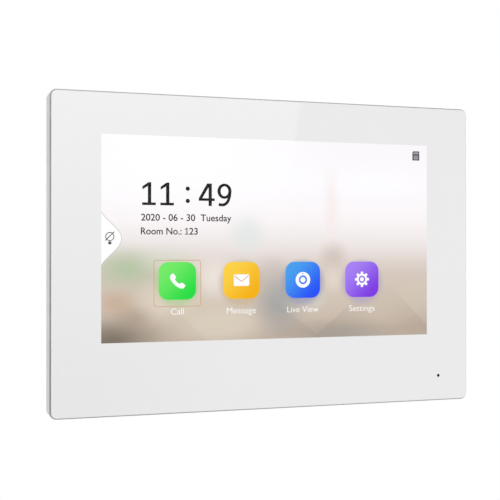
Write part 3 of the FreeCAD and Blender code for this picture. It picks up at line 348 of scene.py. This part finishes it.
def clear_film(name):
    """Touch film: almost invisible, with a fine conductive grid."""
    look = Look(name, (0.9, 0.92, 0.93, 1), 0.1)
    grid = look.map(look.cells(1.8, THROUGH, "DISTANCE_TO_EDGE"), 0.005, 0.01, 0.012, 0.0)
    see_through = look.node("ShaderNodeMixShader")
    look.feed(see_through.inputs[0], grid)
    look.feed(see_through.inputs[1], look.node("ShaderNodeBsdfTransparent").outputs[0])
    look.feed(see_through.inputs[2], look.surface.outputs[0])
    look.feed(look.tree.nodes["Material Output"].inputs["Surface"], see_through.outputs[0])
    return look


def lit(name, colour):
    """A part of the picture that shines with its own colour."""
    look = Look(name, (0.0, 0.0, 0.0, 1), 1.0, Specular_IOR_Level=0.0, Emission_Strength=1.0)
    look.set("Emission Color", colour)
    return look


# ---------------------------------------------------------------- finishes of the record's material slots

def finishes():
    """One material for each material slot of the record."""
    return {
        "steel_plate": zinc_plate("zinc_plated_steel", (0.62, 0.63, 0.64, 1)),
        "spring_steel": sheet_metal("spring_steel", (0.5, 0.51, 0.53, 1), 0.24, brushed=(30, 1, 1)),
        "white_shell": moulded("white_shell", linear(224, 224, 225), 0.42, grain=0.28),
        "ring_metal": sheet_metal("satin_ring", (0.34, 0.34, 0.35, 1), 0.3, brushed=(1, 30, 1), marks=0.3),
        "cover_glass": printed_glass("printed_glass"),
        "tape": soft_rubber("foam_tape", (0.02, 0.02, 0.02, 1), 0.8),
        "film": clear_film("touch_film"),
        "display": moulded("polariser", (0.015, 0.016, 0.02, 1), 0.3, grain=0.1, relief=0.002),
        "light_guide": moulded("acrylic_guide", (0.8, 0.82, 0.8, 1), 0.2, grain=0.5, relief=0.005),
        "tin_plate": sheet_metal("tin_plate", (0.62, 0.63, 0.63, 1), 0.26),
        "polyimide": film("polyimide", (0.5, 0.22, 0.05, 1)),
        "black_plastic": moulded("black_plastic", (0.02, 0.02, 0.022, 1), 0.45, grain=0.2),
        "cream_plastic": moulded("natural_nylon", (0.68, 0.62, 0.45, 1), 0.4, Subsurface_Weight=0.1),
        "screw_steel": turned_metal("nickel_plate", (0.56, 0.56, 0.55, 1)),
        "board": circuit_board("solder_mask", (0.008, 0.1, 0.035, 1)),
        "silicone": soft_rubber("thermal_silicone", (0.24, 0.3, 0.38, 1)),
        "aluminium": sheet_metal("rolled_aluminium", (0.74, 0.75, 0.76, 1), 0.3),
        "chip": package("epoxy_package", (0.018, 0.018, 0.02, 1)),
        "shield_can": sheet_metal("tinned_shield", (0.6, 0.6, 0.59, 1), 0.24, brushed=(1, 1, 30), marks=0.25),
        "cell_steel": sheet_metal("stainless_can", (0.62, 0.62, 0.61, 1), 0.2, marks=0.3),
        "can_aluminium": sheet_metal("capacitor_can", (0.7, 0.7, 0.72, 1), 0.28, marks=0.3),
        "ferrite": package("ferrite_core", (0.03, 0.03, 0.032, 1)),
        "flat_cable": film("flat_cable", (0.75, 0.75, 0.72, 1), 0.4),
        "gold_contact": turned_metal("gold_contact", (0.85, 0.58, 0.2, 1), 0.22),
        "green_terminal": moulded("green_nylon", (0.02, 0.2, 0.065, 1), 0.42, grain=0.2),
        "tin_pin": turned_metal("tin_pin", (0.7, 0.68, 0.62, 1)),
        "foam": soft_rubber("closed_foam", (0.02, 0.02, 0.022, 1), 0.9),
        "basket_steel": moulded("black_paint", (0.02, 0.02, 0.022, 1), 0.35, grain=0.15),
        "magnet": sheet_metal("magnet_plating", (0.3, 0.3, 0.31, 1), 0.3),
        "cone": soft_rubber("coated_paper", (0.025, 0.025, 0.027, 1), 0.7),
        "boot_rubber": soft_rubber("silicone_boot", (0.018, 0.018, 0.018, 1)),
        "capsule": turned_metal("capsule_can", (0.6, 0.6, 0.62, 1)),
        "wire_red": soft_rubber("red_insulation", (0.4, 0.02, 0.015, 1), 0.4),
        "wire_black": soft_rubber("black_insulation", (0.02, 0.02, 0.02, 1), 0.4),
        "wire_grey": soft_rubber("grey_insulation", (0.2, 0.2, 0.21, 1), 0.4),
        "copper_film": film("copper_aerial", (0.6, 0.3, 0.12, 1)),
        "label": moulded("silver_label", (0.6, 0.61, 0.62, 1), 0.35, grain=0.15, relief=0.004),
    }


def paint_cad_nodes():
    """Gives every CAD node the finish of its material slot in the record."""
    looks = finishes()
    for part in frame["record"]["subparts"]:
        node = frame["nodes"][part["node"]]
        look = looks[part["material_slot"]].material
        if not node.material_slots:
            node.data.materials.append(look)
        for material_slot in node.material_slots:
            material_slot.material = look


# plain pieces whose sharp edges are rounded here, and how far, in millimetres
ROUNDED_EDGES = {"card_flap": 0.15, "network_socket_shell": 0.1, "network_socket_insert": 0.12}


def round_edges():
    """Small rounds on the sharp edges of a few plain pieces, as modifiers over the CAD meshes."""
    for name, width in ROUNDED_EDGES.items():
        node = frame["nodes"][name]
        weld = node.modifiers.new("weld", "WELD")
        weld.merge_threshold = 0.001 * MM
        bevel = node.modifiers.new("bevel", "BEVEL")
        bevel.width = width * MM
        bevel.segments = 2
        bevel.limit_method = "ANGLE"
        bevel.angle_limit = math.radians(40)
        bevel.use_clamp_overlap = True
        bevel.harden_normals = True


# ---------------------------------------------------------------- outlines, in millimetres

def round_loop(x, z, radius, steps=48):
    """A circle, as a closed loop of points."""
    return [(x + radius * math.cos(2 * math.pi * n / steps), z + radius * math.sin(2 * math.pi * n / steps))
            for n in range(steps)]


def rounded_loop(x, z, width, height, radius, steps=10):
    """A rectangle with round corners, anticlockwise from its lower right corner."""
    points = []
    for turn, (side, level) in enumerate(((1, -1), (1, 1), (-1, 1), (-1, -1))):
        cx, cz = x + side * (width / 2 - radius), z + level * (height / 2 - radius)
        for n in range(steps + 1):
            angle = math.radians(90 * turn - 90 + 90 * n / steps)
            points.append((cx + radius * math.cos(angle), cz + radius * math.sin(angle)))
    return points


def band_loop(points, width):
    """An open line of points given a width."""
    left, right = [], []
    for n, (x, z) in enumerate(points):
        ax, az = points[max(n - 1, 0)]
        bx, bz = points[min(n + 1, len(points) - 1)]
        length = math.hypot(bx - ax, bz - az)
        u, v = -(bz - az) / length * width / 2, (bx - ax) / length * width / 2
        left.append((x + u, z + v))
        right.append((x - u, z - v))
    return left + right[::-1]


def curve_point(before, start, end, after, t):
    """The point at a share t of the Catmull-Rom curve from start to end."""
    return tuple(0.5 * (2 * b + (c - a) * t + (2 * a - 5 * b + 4 * c - d) * t ** 2
                        + (3 * b - a - 3 * c + d) * t ** 3)
                 for a, b, c, d in zip(before, start, end, after))


def smooth_line(points, steps=8):
    """The points joined by a smooth curve."""
    padded = [points[0]] + points + [points[-1]]
    spans = zip(padded, padded[1:], padded[2:], padded[3:])
    return [curve_point(*four, n / steps) for four in spans for n in range(steps)] + [points[-1]]


def smooth_loop(points, steps=6):
    """The points joined by a smooth closed curve."""
    spans = zip(points[-1:] + points[:-1], points, points[1:] + points[:1], points[2:] + points[:2])
    return [curve_point(*four, n / steps) for four in spans for n in range(steps)]


def moved(loops, x, z):
    """The loops shifted to a new place."""
    return [[(px + x, pz + z) for px, pz in loop] for loop in loops]


# ---------------------------------------------------------------- thin pieces of the picture

def place_sheet(name, curve, depth, look, x=0.0, z=0.0, scale=(1.0, 1.0)):
    """Turns a flat curve, in metres, into a thin solid that faces the reader at a depth in millimetres."""
    stencil = bpy.data.objects.new(name + "_stencil", curve)
    scene.collection.objects.link(stencil)
    bpy.context.view_layer.update()
    mesh = bpy.data.meshes.new_from_object(stencil.evaluated_get(bpy.context.evaluated_depsgraph_get()))
    bpy.data.objects.remove(stencil)
    mesh.transform(Matrix.Diagonal((scale[0], scale[1], 1, 1)))
    mesh.transform(Matrix.Rotation(math.pi / 2, 4, "X"))
    mesh.transform(Matrix.Translation(((PICTURE_X + x) * MM, -depth * MM, (PICTURE_Z + z) * MM)))
    mesh.materials.clear()
    mesh.materials.append(look.material)
    piece = bpy.data.objects.new(name, mesh)
    scene.collection.objects.link(piece)
    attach(piece, "monitor")


def cut_sheet(name, loops, depth, look):
    """A thin solid from closed loops of points; a loop inside another is a hole."""
    curve = bpy.data.curves.new(name, "CURVE")
    curve.dimensions = "2D"
    curve.fill_mode = "BOTH"
    curve.extrude = SHEET / 2 * MM
    for loop in loops:
        spline = curve.splines.new("POLY")
        spline.points.add(len(loop) - 1)
        for point, (x, z) in zip(spline.points, loop):
            point.co = (x * MM, z * MM, 0, 1)
        spline.use_cyclic_u = True
    place_sheet(name, curve, depth, look)


def letters(text, weight=0.0):
    """Letters of size 1, thickened all round by the weight, or thinned where it is negative."""
    curve = bpy.data.curves.new("letters", "FONT")
    curve.body = text
    curve.size = MM
    curve.extrude = SHEET / 2 * MM
    curve.offset = weight * MM
    return curve


def extent(text):
    """(left, low, right, high) of a line of letters at size 1."""
    probe = bpy.data.objects.new("probe", letters(text))
    scene.collection.objects.link(probe)
    bpy.context.view_layer.update()
    corners = [Vector(corner) / MM for corner in probe.bound_box]
    bpy.data.objects.remove(probe)
    return (min(c.x for c in corners), min(c.y for c in corners),
            max(c.x for c in corners), max(c.y for c in corners))


def write(name, text, left, right, baseline, capital, look, weight=0.0):
    """A line of letters between two sides, on a baseline, with capitals of the given height."""
    low_x, _, high_x, _ = extent(text)
    _, _, _, cap = extent("H")
    stretch = (right - left) / (high_x - low_x)
    place_sheet(name, letters(text, weight), UI_DEPTH, look, left - low_x * stretch, baseline,
                (stretch, capital / cap))


# the wallpaper's tone at each height
WALL_TONES = (
    (-41, (191, 175, 159)), (-35, (204, 189, 174)), (-29, (210, 196, 180)), (-22, (212, 198, 184)),
    (-16, (214, 200, 190)), (-11, (222, 211, 203)), (-5, (235, 226, 223)), (2, (243, 238, 238)),
    (8, (250, 244, 245)), (14, (252, 248, 251)), (26, (254, 252, 255)), (44, (252, 248, 253)),
)

# soft ovals over it: middle, reach along X and Z, tone, strength, and how much of the oval is soft
WALL_PATCHES = (
    ((-45, 42), (95, 46), (255, 255, 255), 1.0, 1.0),
    ((48, 26), (30, 10), (255, 254, 255), 0.7, 1.0),
    ((-28, -17), (15, 15), (240, 231, 224), 0.85, 1.0),
    ((-67, -13), (24, 13), (182, 197, 164), 0.95, 1.0),
    ((-50, -9), (18, 8), (216, 219, 202), 0.6, 1.0),
    ((-72, -28), (13, 9), (199, 171, 145), 0.75, 1.0),
    ((-63, -34), (14, 8), (176, 158, 138), 0.7, 1.0),
    ((-48, -27), (19, 13), (226, 213, 197), 0.9, 0.8),
    ((-12, 2), (13, 13), (224, 231, 229), 0.75, 1.0),
    ((29, 15), (6, 26), (247, 229, 225), 0.45, 1.0),
    ((-26, -38), (34, 13), (219, 207, 190), 0.9, 0.8),
    ((3, -28), (17, 21), (162, 164, 165), 0.85, 1.0),
    ((0, -13), (10, 8), (196, 190, 186), 0.35, 1.0),
    ((20, -26), (10, 10), (212, 208, 203), 0.8, 1.0),
    ((30, -8), (10, 10), (198, 184, 172), 0.6, 1.0),
    ((30, -18), (8, 10), (232, 220, 210), 0.7, 1.0),
    ((34, -44), (34, 9), (164, 157, 150), 0.75, 1.0),
    ((-74, -45), (27, 15), (126, 116, 103), 1.0, 1.0),
)

# folded-paper facets: a point on the fold, the direction square to it, and how dark its step is
WALL_FACETS = (
    ((38, -30), (0.64, -0.77), 0.14), ((62, -24), (-0.7, -0.71), 0.14), ((12, -36), (-0.6, -0.8), 0.12),
    ((74, -34), (0.5, -0.87), 0.05), ((-58, -40), (0.7, -0.71), 0.06), ((-40, -36), (-0.7, -0.71), 0.06),
)
FACET_TONE = (120, 108, 98)
FACET_WIDTH = 14.0

# the tinted shadow under each tile, from left to right
TILE_SHADOWS = ((176, 205, 152), (202, 182, 150), (150, 154, 184), (182, 166, 196))
SHADOW_DROP = 1.3
SHADOW_REACH = 12.2


def wallpaper():
    """A soft out-of-focus picture: a tone for each height, with broad patches over it."""
    look = lit("wallpaper", (1, 1, 1, 1))
    centre = look.node("ShaderNodeMapping")
    look.feed(centre.inputs["Vector"], look.place)
    look.feed(centre.inputs["Scale"], (1 / MM, 0, 1 / MM))
    look.feed(centre.inputs["Location"], (-PICTURE_X, 0, -PICTURE_Z))
    spot = centre.outputs["Vector"]
    across, _, up = look.axes(spot)

    ramp = look.node("ShaderNodeValToRGB")
    low, high = WALL_TONES[0][0], WALL_TONES[-1][0]
    while len(ramp.color_ramp.elements) < len(WALL_TONES):
        ramp.color_ramp.elements.new(0.5)
    for element, (height, tone) in zip(ramp.color_ramp.elements, WALL_TONES):
        element.position = (height - low) / (high - low)
        element.color = linear(*tone)
    look.feed(ramp.inputs[0], look.map(up, low, high, 0.0, 1.0))
    colour = ramp.outputs[0]

    def patch(under, middle, reach, tone, strength, soft):
        """A soft oval patch of a tone."""
        oval = look.node("ShaderNodeMapping")
        look.feed(oval.inputs["Vector"], spot)
        look.feed(oval.inputs["Scale"], (1 / reach[0], 0, 1 / reach[1]))
        look.feed(oval.inputs["Location"], (-middle[0] / reach[0], 0, -middle[1] / reach[1]))
        distance = look.node("ShaderNodeVectorMath", operation="LENGTH")
        look.feed(distance.inputs[0], oval.outputs["Vector"])
        share = look.map(distance.outputs["Value"], 1 - soft, 1.0, strength, 0.0, smooth=True)
        return look.mix(share, under, linear(*tone))

    for patch_facts in WALL_PATCHES:
        colour = patch(colour, *patch_facts)
    lower_part = look.map(up, -34.0, -20.0, 1.0, 0.0)
    for (fold_x, fold_z), (square_x, square_z), share in WALL_FACETS:
        side = look.maths("ADD",
                          look.maths("MULTIPLY", look.maths("SUBTRACT", across, fold_x), square_x),
                          look.maths("MULTIPLY", look.maths("SUBTRACT", up, fold_z), square_z))
        edge = look.map(side, 0.0, 0.5, 0.0, 1.0)
        step = look.maths("MULTIPLY", edge, look.map(side, 0.5, FACET_WIDTH, share, 0.0))
        colour = look.mix(look.maths("MULTIPLY", step, lower_part), colour, linear(*FACET_TONE))
    for n, tint in enumerate(TILE_SHADOWS):
        middle = ((n - 1.5) * ICON_PITCH, ICON_Z - SHADOW_DROP)
        colour = patch(colour, middle, (SHADOW_REACH, SHADOW_REACH), tint, 0.75, 0.36)
    look.set("Emission Color", colour)
    return look


def tile(name, upper_left, lower_right, x):
    """A tile's colour, graded from one corner to the other."""
    look = lit(name, linear(*upper_left))
    across, _, up = look.axes()
    slant = look.maths("SUBTRACT", across, up)
    middle = (PICTURE_X + x - PICTURE_Z - ICON_Z) * MM
    reach = ICON_WIDTH * 0.8 * MM
    share = look.map(slant, middle - reach, middle + reach, 0.0, 1.0, smooth=True)
    look.set("Emission Color", look.mix(share, linear(*upper_left), linear(*lower_right)))
    return look


def handset():
    """A telephone handset lying from the upper left to the lower right."""
    outline = [
        (-3.4, 1.85), (-2.65, 3.05), (-1.75, 3.15), (-0.7, 1.75), (-0.8, 1.15), (-1.2, 0.8), (-0.9, 0.2),
        (-0.15, -0.55), (0.65, -1.15), (1.2, -1.2), (1.6, -0.85), (2.25, -0.9), (3.5, -1.9), (3.25, -2.65),
        (2.35, -3.4), (1.15, -3.2), (-0.2, -2.5), (-1.5, -1.45), (-2.65, -0.15), (-3.2, 0.9),
    ]
    return [smooth_loop(outline)]


def envelope():
    """The body of an envelope; its flap is a line of another colour."""
    return [rounded_loop(0, 0.1, 7.3, 5.2, 0.6)]


def ring_of_lens():
    """A camera's face: a ring with a small hole at its top, and a lens in the middle."""
    return [round_loop(0, 0, 3.6), round_loop(0, 0, 2.05), round_loop(0, 0, 1.25),
            round_loop(0, 2.8, 0.3, 16)]


def gear(teeth=8, tip=3.6, root=2.65):
    """A gear wheel with round-shouldered teeth and a ring round its middle."""
    rim = []
    for n in range(teeth * 24):
        angle = 2 * math.pi * n / (teeth * 24)
        tooth = max(0.0, min(1.0, 0.5 + 2.6 * math.cos(teeth * angle)))
        reach = root + (tip - root) * tooth * tooth * (3 - 2 * tooth)
        rim.append((reach * math.sin(angle), reach * math.cos(angle)))
    return [rim, round_loop(0, 0, 1.7), round_loop(0, 0, 1.0)]


def add_tiles():
    """Four tiles with a symbol and a label each, and a thin outline round the chosen one."""
    white = lit("symbol_white", (1, 1, 1, 1))
    flap_line = lit("flap_line", linear(222, 166, 70))
    tiles = (
        ("call", "Call", 5.9, (116, 236, 104), (30, 222, 66), handset()),
        ("message", "Message", 13.9, (254, 210, 66), (246, 178, 6), envelope()),
        ("view", "Live View", 15.4, (70, 160, 238), (34, 78, 248), ring_of_lens()),
        ("settings", "Settings", 13.2, (166, 128, 245), (124, 54, 228), gear()),
    )
    for n, (name, text, width, upper_left, lower_right, symbol) in enumerate(tiles):
        x = (n - 1.5) * ICON_PITCH
        paint = tile(name + "_tile", upper_left, lower_right, x)
        shape = rounded_loop(x, ICON_Z, ICON_WIDTH, ICON_HEIGHT, ICON_RADIUS)
        cut_sheet(name + "_tile", [shape], UI_DEPTH, paint)
        cut_sheet(name + "_symbol", moved(symbol, x, ICON_Z), TOP_DEPTH, white)
        if name == "message":
            flap = band_loop([(-3.3, 2.1), (0, -0.5), (3.3, 2.1)], 0.42)
            cut_sheet("message_flap_line", moved([flap], x, ICON_Z), TOP_DEPTH + 0.04, flap_line)
        write(name + "_label", text, x - width / 2, x + width / 2, LABEL_BASELINE, LABEL_CAPITAL, white,
              LABEL_WEIGHT)
    x, z = -1.5 * ICON_PITCH + 0.05, -19.55
    width, height, radius = 21.5, 20.6, 1.2
    line = 0.3
    outer = rounded_loop(x, z, width, height, radius)
    inner = rounded_loop(x, z, width - 2 * line, height - 2 * line, radius - line)
    cut_sheet("chosen_outline", [outer, inner], UI_DEPTH, lit("chosen_outline", linear(208, 166, 130)))


# the clock's digits: their height, and the thickness of upright and of level strokes
DIGIT_HEIGHT = 10.0
DIGIT_STROKE = 1.5
DIGIT_BAR = 1.15


def digit_one():
    """A 1 with a slanted flag and a foot, as one outline."""
    half, top, foot = DIGIT_STROKE / 2, DIGIT_HEIGHT, 3.05
    stem, flag = 0.25, -2.95
    return [[(-foot, 0), (foot, 0), (foot, DIGIT_BAR), (stem + half, DIGIT_BAR), (stem + half, top),
             (stem - 0.5, top), (flag, top - 1.9), (flag, top - 3.2), (stem - half, top - 1.7),
             (stem - half, DIGIT_BAR), (-foot, DIGIT_BAR)]]


def digit_four():
    """A 4 with a slanted arm and a triangular opening."""
    half, top, bar = DIGIT_STROKE / 2, DIGIT_HEIGHT, 2.25
    over_bar = bar + DIGIT_BAR
    stem, left, right = 1.55, -3.75, 3.65
    outline = [(left, over_bar - 0.1), (stem - half - 0.7, top), (stem + half, top), (stem + half, over_bar),
               (right, over_bar), (right, bar), (stem + half, bar), (stem + half, 0), (stem - half, 0),
               (stem - half, bar), (left, bar)]
    opening = [(left + 1.6, over_bar), (stem - half, over_bar), (stem - half, top - 1.7)]
    return [outline, opening]


def digit_nine():
    """The bowl and the tail of a 9."""
    bowl_z, wide, high = 6.7, 3.3, 3.4
    bowl = []
    for inset in (0, DIGIT_STROKE):
        across, up = wide - inset, high - inset * 0.8
        bowl.append([(x * across, bowl_z + z * up) for x, z in round_loop(0, 0, 1, 56)])
    tail = [(wide - DIGIT_STROKE / 2, 6.9), (2.5, 5.2), (2.15, 3.6), (1.4, 1.9), (0.2, 0.85), (-1.2, 0.55),
            (-2.7, 0.8)]
    return bowl, [band_loop(smooth_line(tail), DIGIT_BAR + 0.15)]


def add_clock():
    """The time, and the lines with the date and the room under it."""
    black = lit("digits_black", linear(28, 28, 30))
    grey = lit("lines_grey", linear(44, 42, 44))
    nine_bowl, nine_tail = digit_nine()
    for n, (loops, middle) in enumerate(((digit_one(), -57.35), (digit_one(), -49.2), (digit_four(), -31.05),
                                         (nine_bowl, -22.85), (nine_tail, -22.85))):
        cut_sheet("clock_digit_%d" % n, moved(loops, middle, CLOCK_BASELINE), UI_DEPTH, black)
    colon = [round_loop(-39.85, CLOCK_BASELINE + level, 0.95) for level in (2.1, 7.5)]
    cut_sheet("clock_colon", colon, UI_DEPTH, black)
    for name, text, left, right, baseline in (
        ("date_line", "2020 - 06 - 30  Tuesday", -60.8, -19.7, DATE_BASELINE),
        ("room_line", "Room No.:", -60.9, -42.7, ROOM_BASELINE),
        ("room_number", "23", -39.1, -35.3, ROOM_BASELINE),
    ):
        write(name, text, left, right, baseline, LINE_CAPITAL, grey, DARK_TEXT_WEIGHT)
    small = LINE_CAPITAL / DIGIT_HEIGHT
    small_one = [[(x * small, z * small) for x, z in loop] for loop in digit_one()]
    cut_sheet("room_number_one", moved(small_one, -40.3, ROOM_BASELINE), UI_DEPTH, grey)


def add_side_tab():
    """The white tab at the left edge of the picture, shaped like a bell on its side."""
    left, reach, half = -PICTURE_HALF_WIDTH, -69.5, 12.7
    edge_x = -78.6
    steps = 48
    curve = []
    for n in range(steps + 1):
        level = -half + 2 * half * n / steps
        swell = (0.5 + 0.5 * math.cos(math.pi * level / half)) ** 0.85
        curve.append((edge_x + (reach - edge_x) * swell, level))
    tab_edge = lit("tab_edge", linear(205, 200, 198))
    cut_sheet("tab_edge", [band_loop(curve, 0.28)], UI_DEPTH, tab_edge)
    bell = [(left, -half)] + curve + [(left, half)]
    cut_sheet("side_tab", [bell], UI_DEPTH - 0.01, lit("tab_white", (1, 1, 1, 1)))
    grey = lit("tab_symbol", linear(88, 88, 90))
    x, z = -74.6, 0.9
    bulb = [round_loop(x, z, 1.95, 40), round_loop(x, z, 1.58, 40)]
    cut_sheet("bulb_symbol", bulb, TOP_DEPTH, grey)
    cut_sheet("bulb_base", [rounded_loop(x, z - 2.75, 1.4, 1.3, 0.4, 6)], TOP_DEPTH, grey)
    slash = band_loop([(x - 1.95, z - 1.7), (x + 1.9, z + 2.1)], 0.4)
    cut_sheet("bulb_slash", [slash], TOP_DEPTH + 0.04, grey)


def add_card_symbol():
    """A memory card with a row of contacts at the picture's upper right corner."""
    x, z, width, height, clipped = 72.8, 40.1, 3.7, 4.4, 0.5
    left, right, low, high = x - width / 2, x + width / 2, z - height / 2, z + height / 2
    body = [(left, low), (right, low), (right, high), (left + clipped, high), (left, high - clipped)]
    cut_sheet("card_symbol", [body], UI_DEPTH, lit("card_grey", linear(98, 96, 102)))
    pale = lit("card_marks", linear(190, 188, 194))
    shifts = (-1.05, -0.35, 0.35, 1.05)
    contacts = [rounded_loop(x + shift, z + 1.25, 0.32, 1.1, 0.1, 4) for shift in shifts]
    cut_sheet("card_contacts", contacts, TOP_DEPTH, pale)
    mark_z = z - 0.85
    mark = [rounded_loop(x, mark_z, 2.0, 1.5, 0.6, 6), rounded_loop(x, mark_z, 1.2, 0.75, 0.3, 6)]
    cut_sheet("card_print", mark, TOP_DEPTH, pale)


def add_picture():
    """Everything that the display shows."""
    outline = rounded_loop(0, 0, 2 * PICTURE_HALF_WIDTH, 2 * PICTURE_HALF_HEIGHT, 0.5, 4)
    cut_sheet("lit_picture", [outline], WALLPAPER_DEPTH, wallpaper())
    add_tiles()
    add_clock()
    add_side_tab()
    add_card_symbol()


# ---------------------------------------------------------------- studio

# place in millimetres, turn about Z and tilt upwards in degrees, and the lens on its sensor in millimetres
CAMERA_PLACE = (-160.3, -452.5, 0.5)
CAMERA_TURN = 18.855
CAMERA_TILT = 0.166
LENS = 74.1
SENSOR_WIDTH = 36.0


def add_camera():
    """The camera at the photograph's viewing angle."""
    camera = bpy.data.objects.new("camera", bpy.data.cameras.new("camera"))
    camera.data.sensor_width = SENSOR_WIDTH
    camera.data.lens = LENS
    camera.location = Vector(CAMERA_PLACE) * MM
    camera.rotation_euler = (math.radians(90 + CAMERA_TILT), 0, -math.radians(CAMERA_TURN))
    scene.collection.objects.link(camera)
    scene.camera = camera


def add_room():
    """White surroundings, dimmer on the reader's left and below."""
    world = bpy.data.worlds.new("studio")
    scene.world = world
    world.use_nodes = True
    tree = world.node_tree
    background = tree.nodes["Background"]
    towards = tree.nodes.new("ShaderNodeTexCoord").outputs["Generated"]
    parts = tree.nodes.new("ShaderNodeSeparateXYZ")
    tree.links.new(towards, parts.inputs[0])

    def shade(axis, low, high, to_low, to_high):
        """A brightness that changes smoothly with the direction's part along an axis."""
        mapped = tree.nodes.new("ShaderNodeMapRange")
        mapped.interpolation_type = "SMOOTHSTEP"
        tree.links.new(parts.outputs[axis], mapped.inputs["Value"])
        for socket, number in zip(("From Min", "From Max", "To Min", "To Max"),
                                  (low, high, to_low, to_high)):
            mapped.inputs[socket].default_value = number
        return mapped.outputs["Result"]

    both = tree.nodes.new("ShaderNodeMath")
    both.operation = "MULTIPLY"
    tree.links.new(shade("X", -0.95, -0.35, 0.5, 1.0), both.inputs[0])
    tree.links.new(shade("Z", -0.9, -0.3, 0.7, 1.0), both.inputs[1])
    tree.links.new(both.outputs[0], background.inputs["Color"])
    background.inputs["Strength"].default_value = 1.0


def stage_sheet(name, corners, material):
    """A flat sheet that isn't part of the object."""
    mesh = bpy.data.meshes.new(name)
    mesh.from_pydata([Vector(corner) * MM for corner in corners], [], [range(len(corners))])
    mesh.materials.append(material)
    sheet = bpy.data.objects.new(name, mesh)
    scene.collection.objects.link(sheet)
    return sheet


def add_floor():
    """A round pale floor, low enough that a view from below isn't blocked by it."""
    reach, level = 1200, -560
    floor = Look("floor_paper", (0.9, 0.9, 0.9, 1), 0.8)
    floor.vary(floor.noise(400, 2), 0.01)
    turns = [math.radians(angle) for angle in range(0, 360, 6)]
    disc = [(reach * math.cos(turn), reach * math.sin(turn), level) for turn in turns]
    stage_sheet("floor", disc, floor.material)


def add_reflected_card():
    """A wide softbox behind the camera, seen only in reflections: a slanted sheen on the glass."""
    look = Look("softbox", roughness=1.0)
    x, _, z = look.axes()
    down = look.map(z, -0.24, 0.3, 0.25, 2.2)
    sideways = look.map(x, 0.1, 0.56, 0.0, 1.0, smooth=True)
    low_down = look.map(z, -0.12, 0.08, 1.0, 0.0, smooth=True)
    fade = look.maths("MULTIPLY", sideways, low_down)
    level = look.maths("ADD", look.maths("MULTIPLY", down, look.maths("SUBTRACT", 1.0, fade)), fade)
    emission = look.node("ShaderNodeEmission")
    look.feed(emission.inputs["Strength"], level)
    look.feed(look.tree.nodes["Material Output"].inputs["Surface"], emission.outputs[0])
    left, right_low, right_high = -350, 505, 607
    half, distance = 330, -1500
    corners = [(left, distance, -half), (right_low, distance, -half), (right_high, distance, half),
               (left, distance, half)]
    card = stage_sheet("softbox", corners, look.material)
    card.visible_camera = False
    card.visible_diffuse = False
    card.visible_shadow = False
    card.visible_transmission = False


scene.view_settings.view_transform = "Standard"
add_camera()
add_room()
add_floor()
add_reflected_card()
paint_cad_nodes()
round_edges()
add_picture()
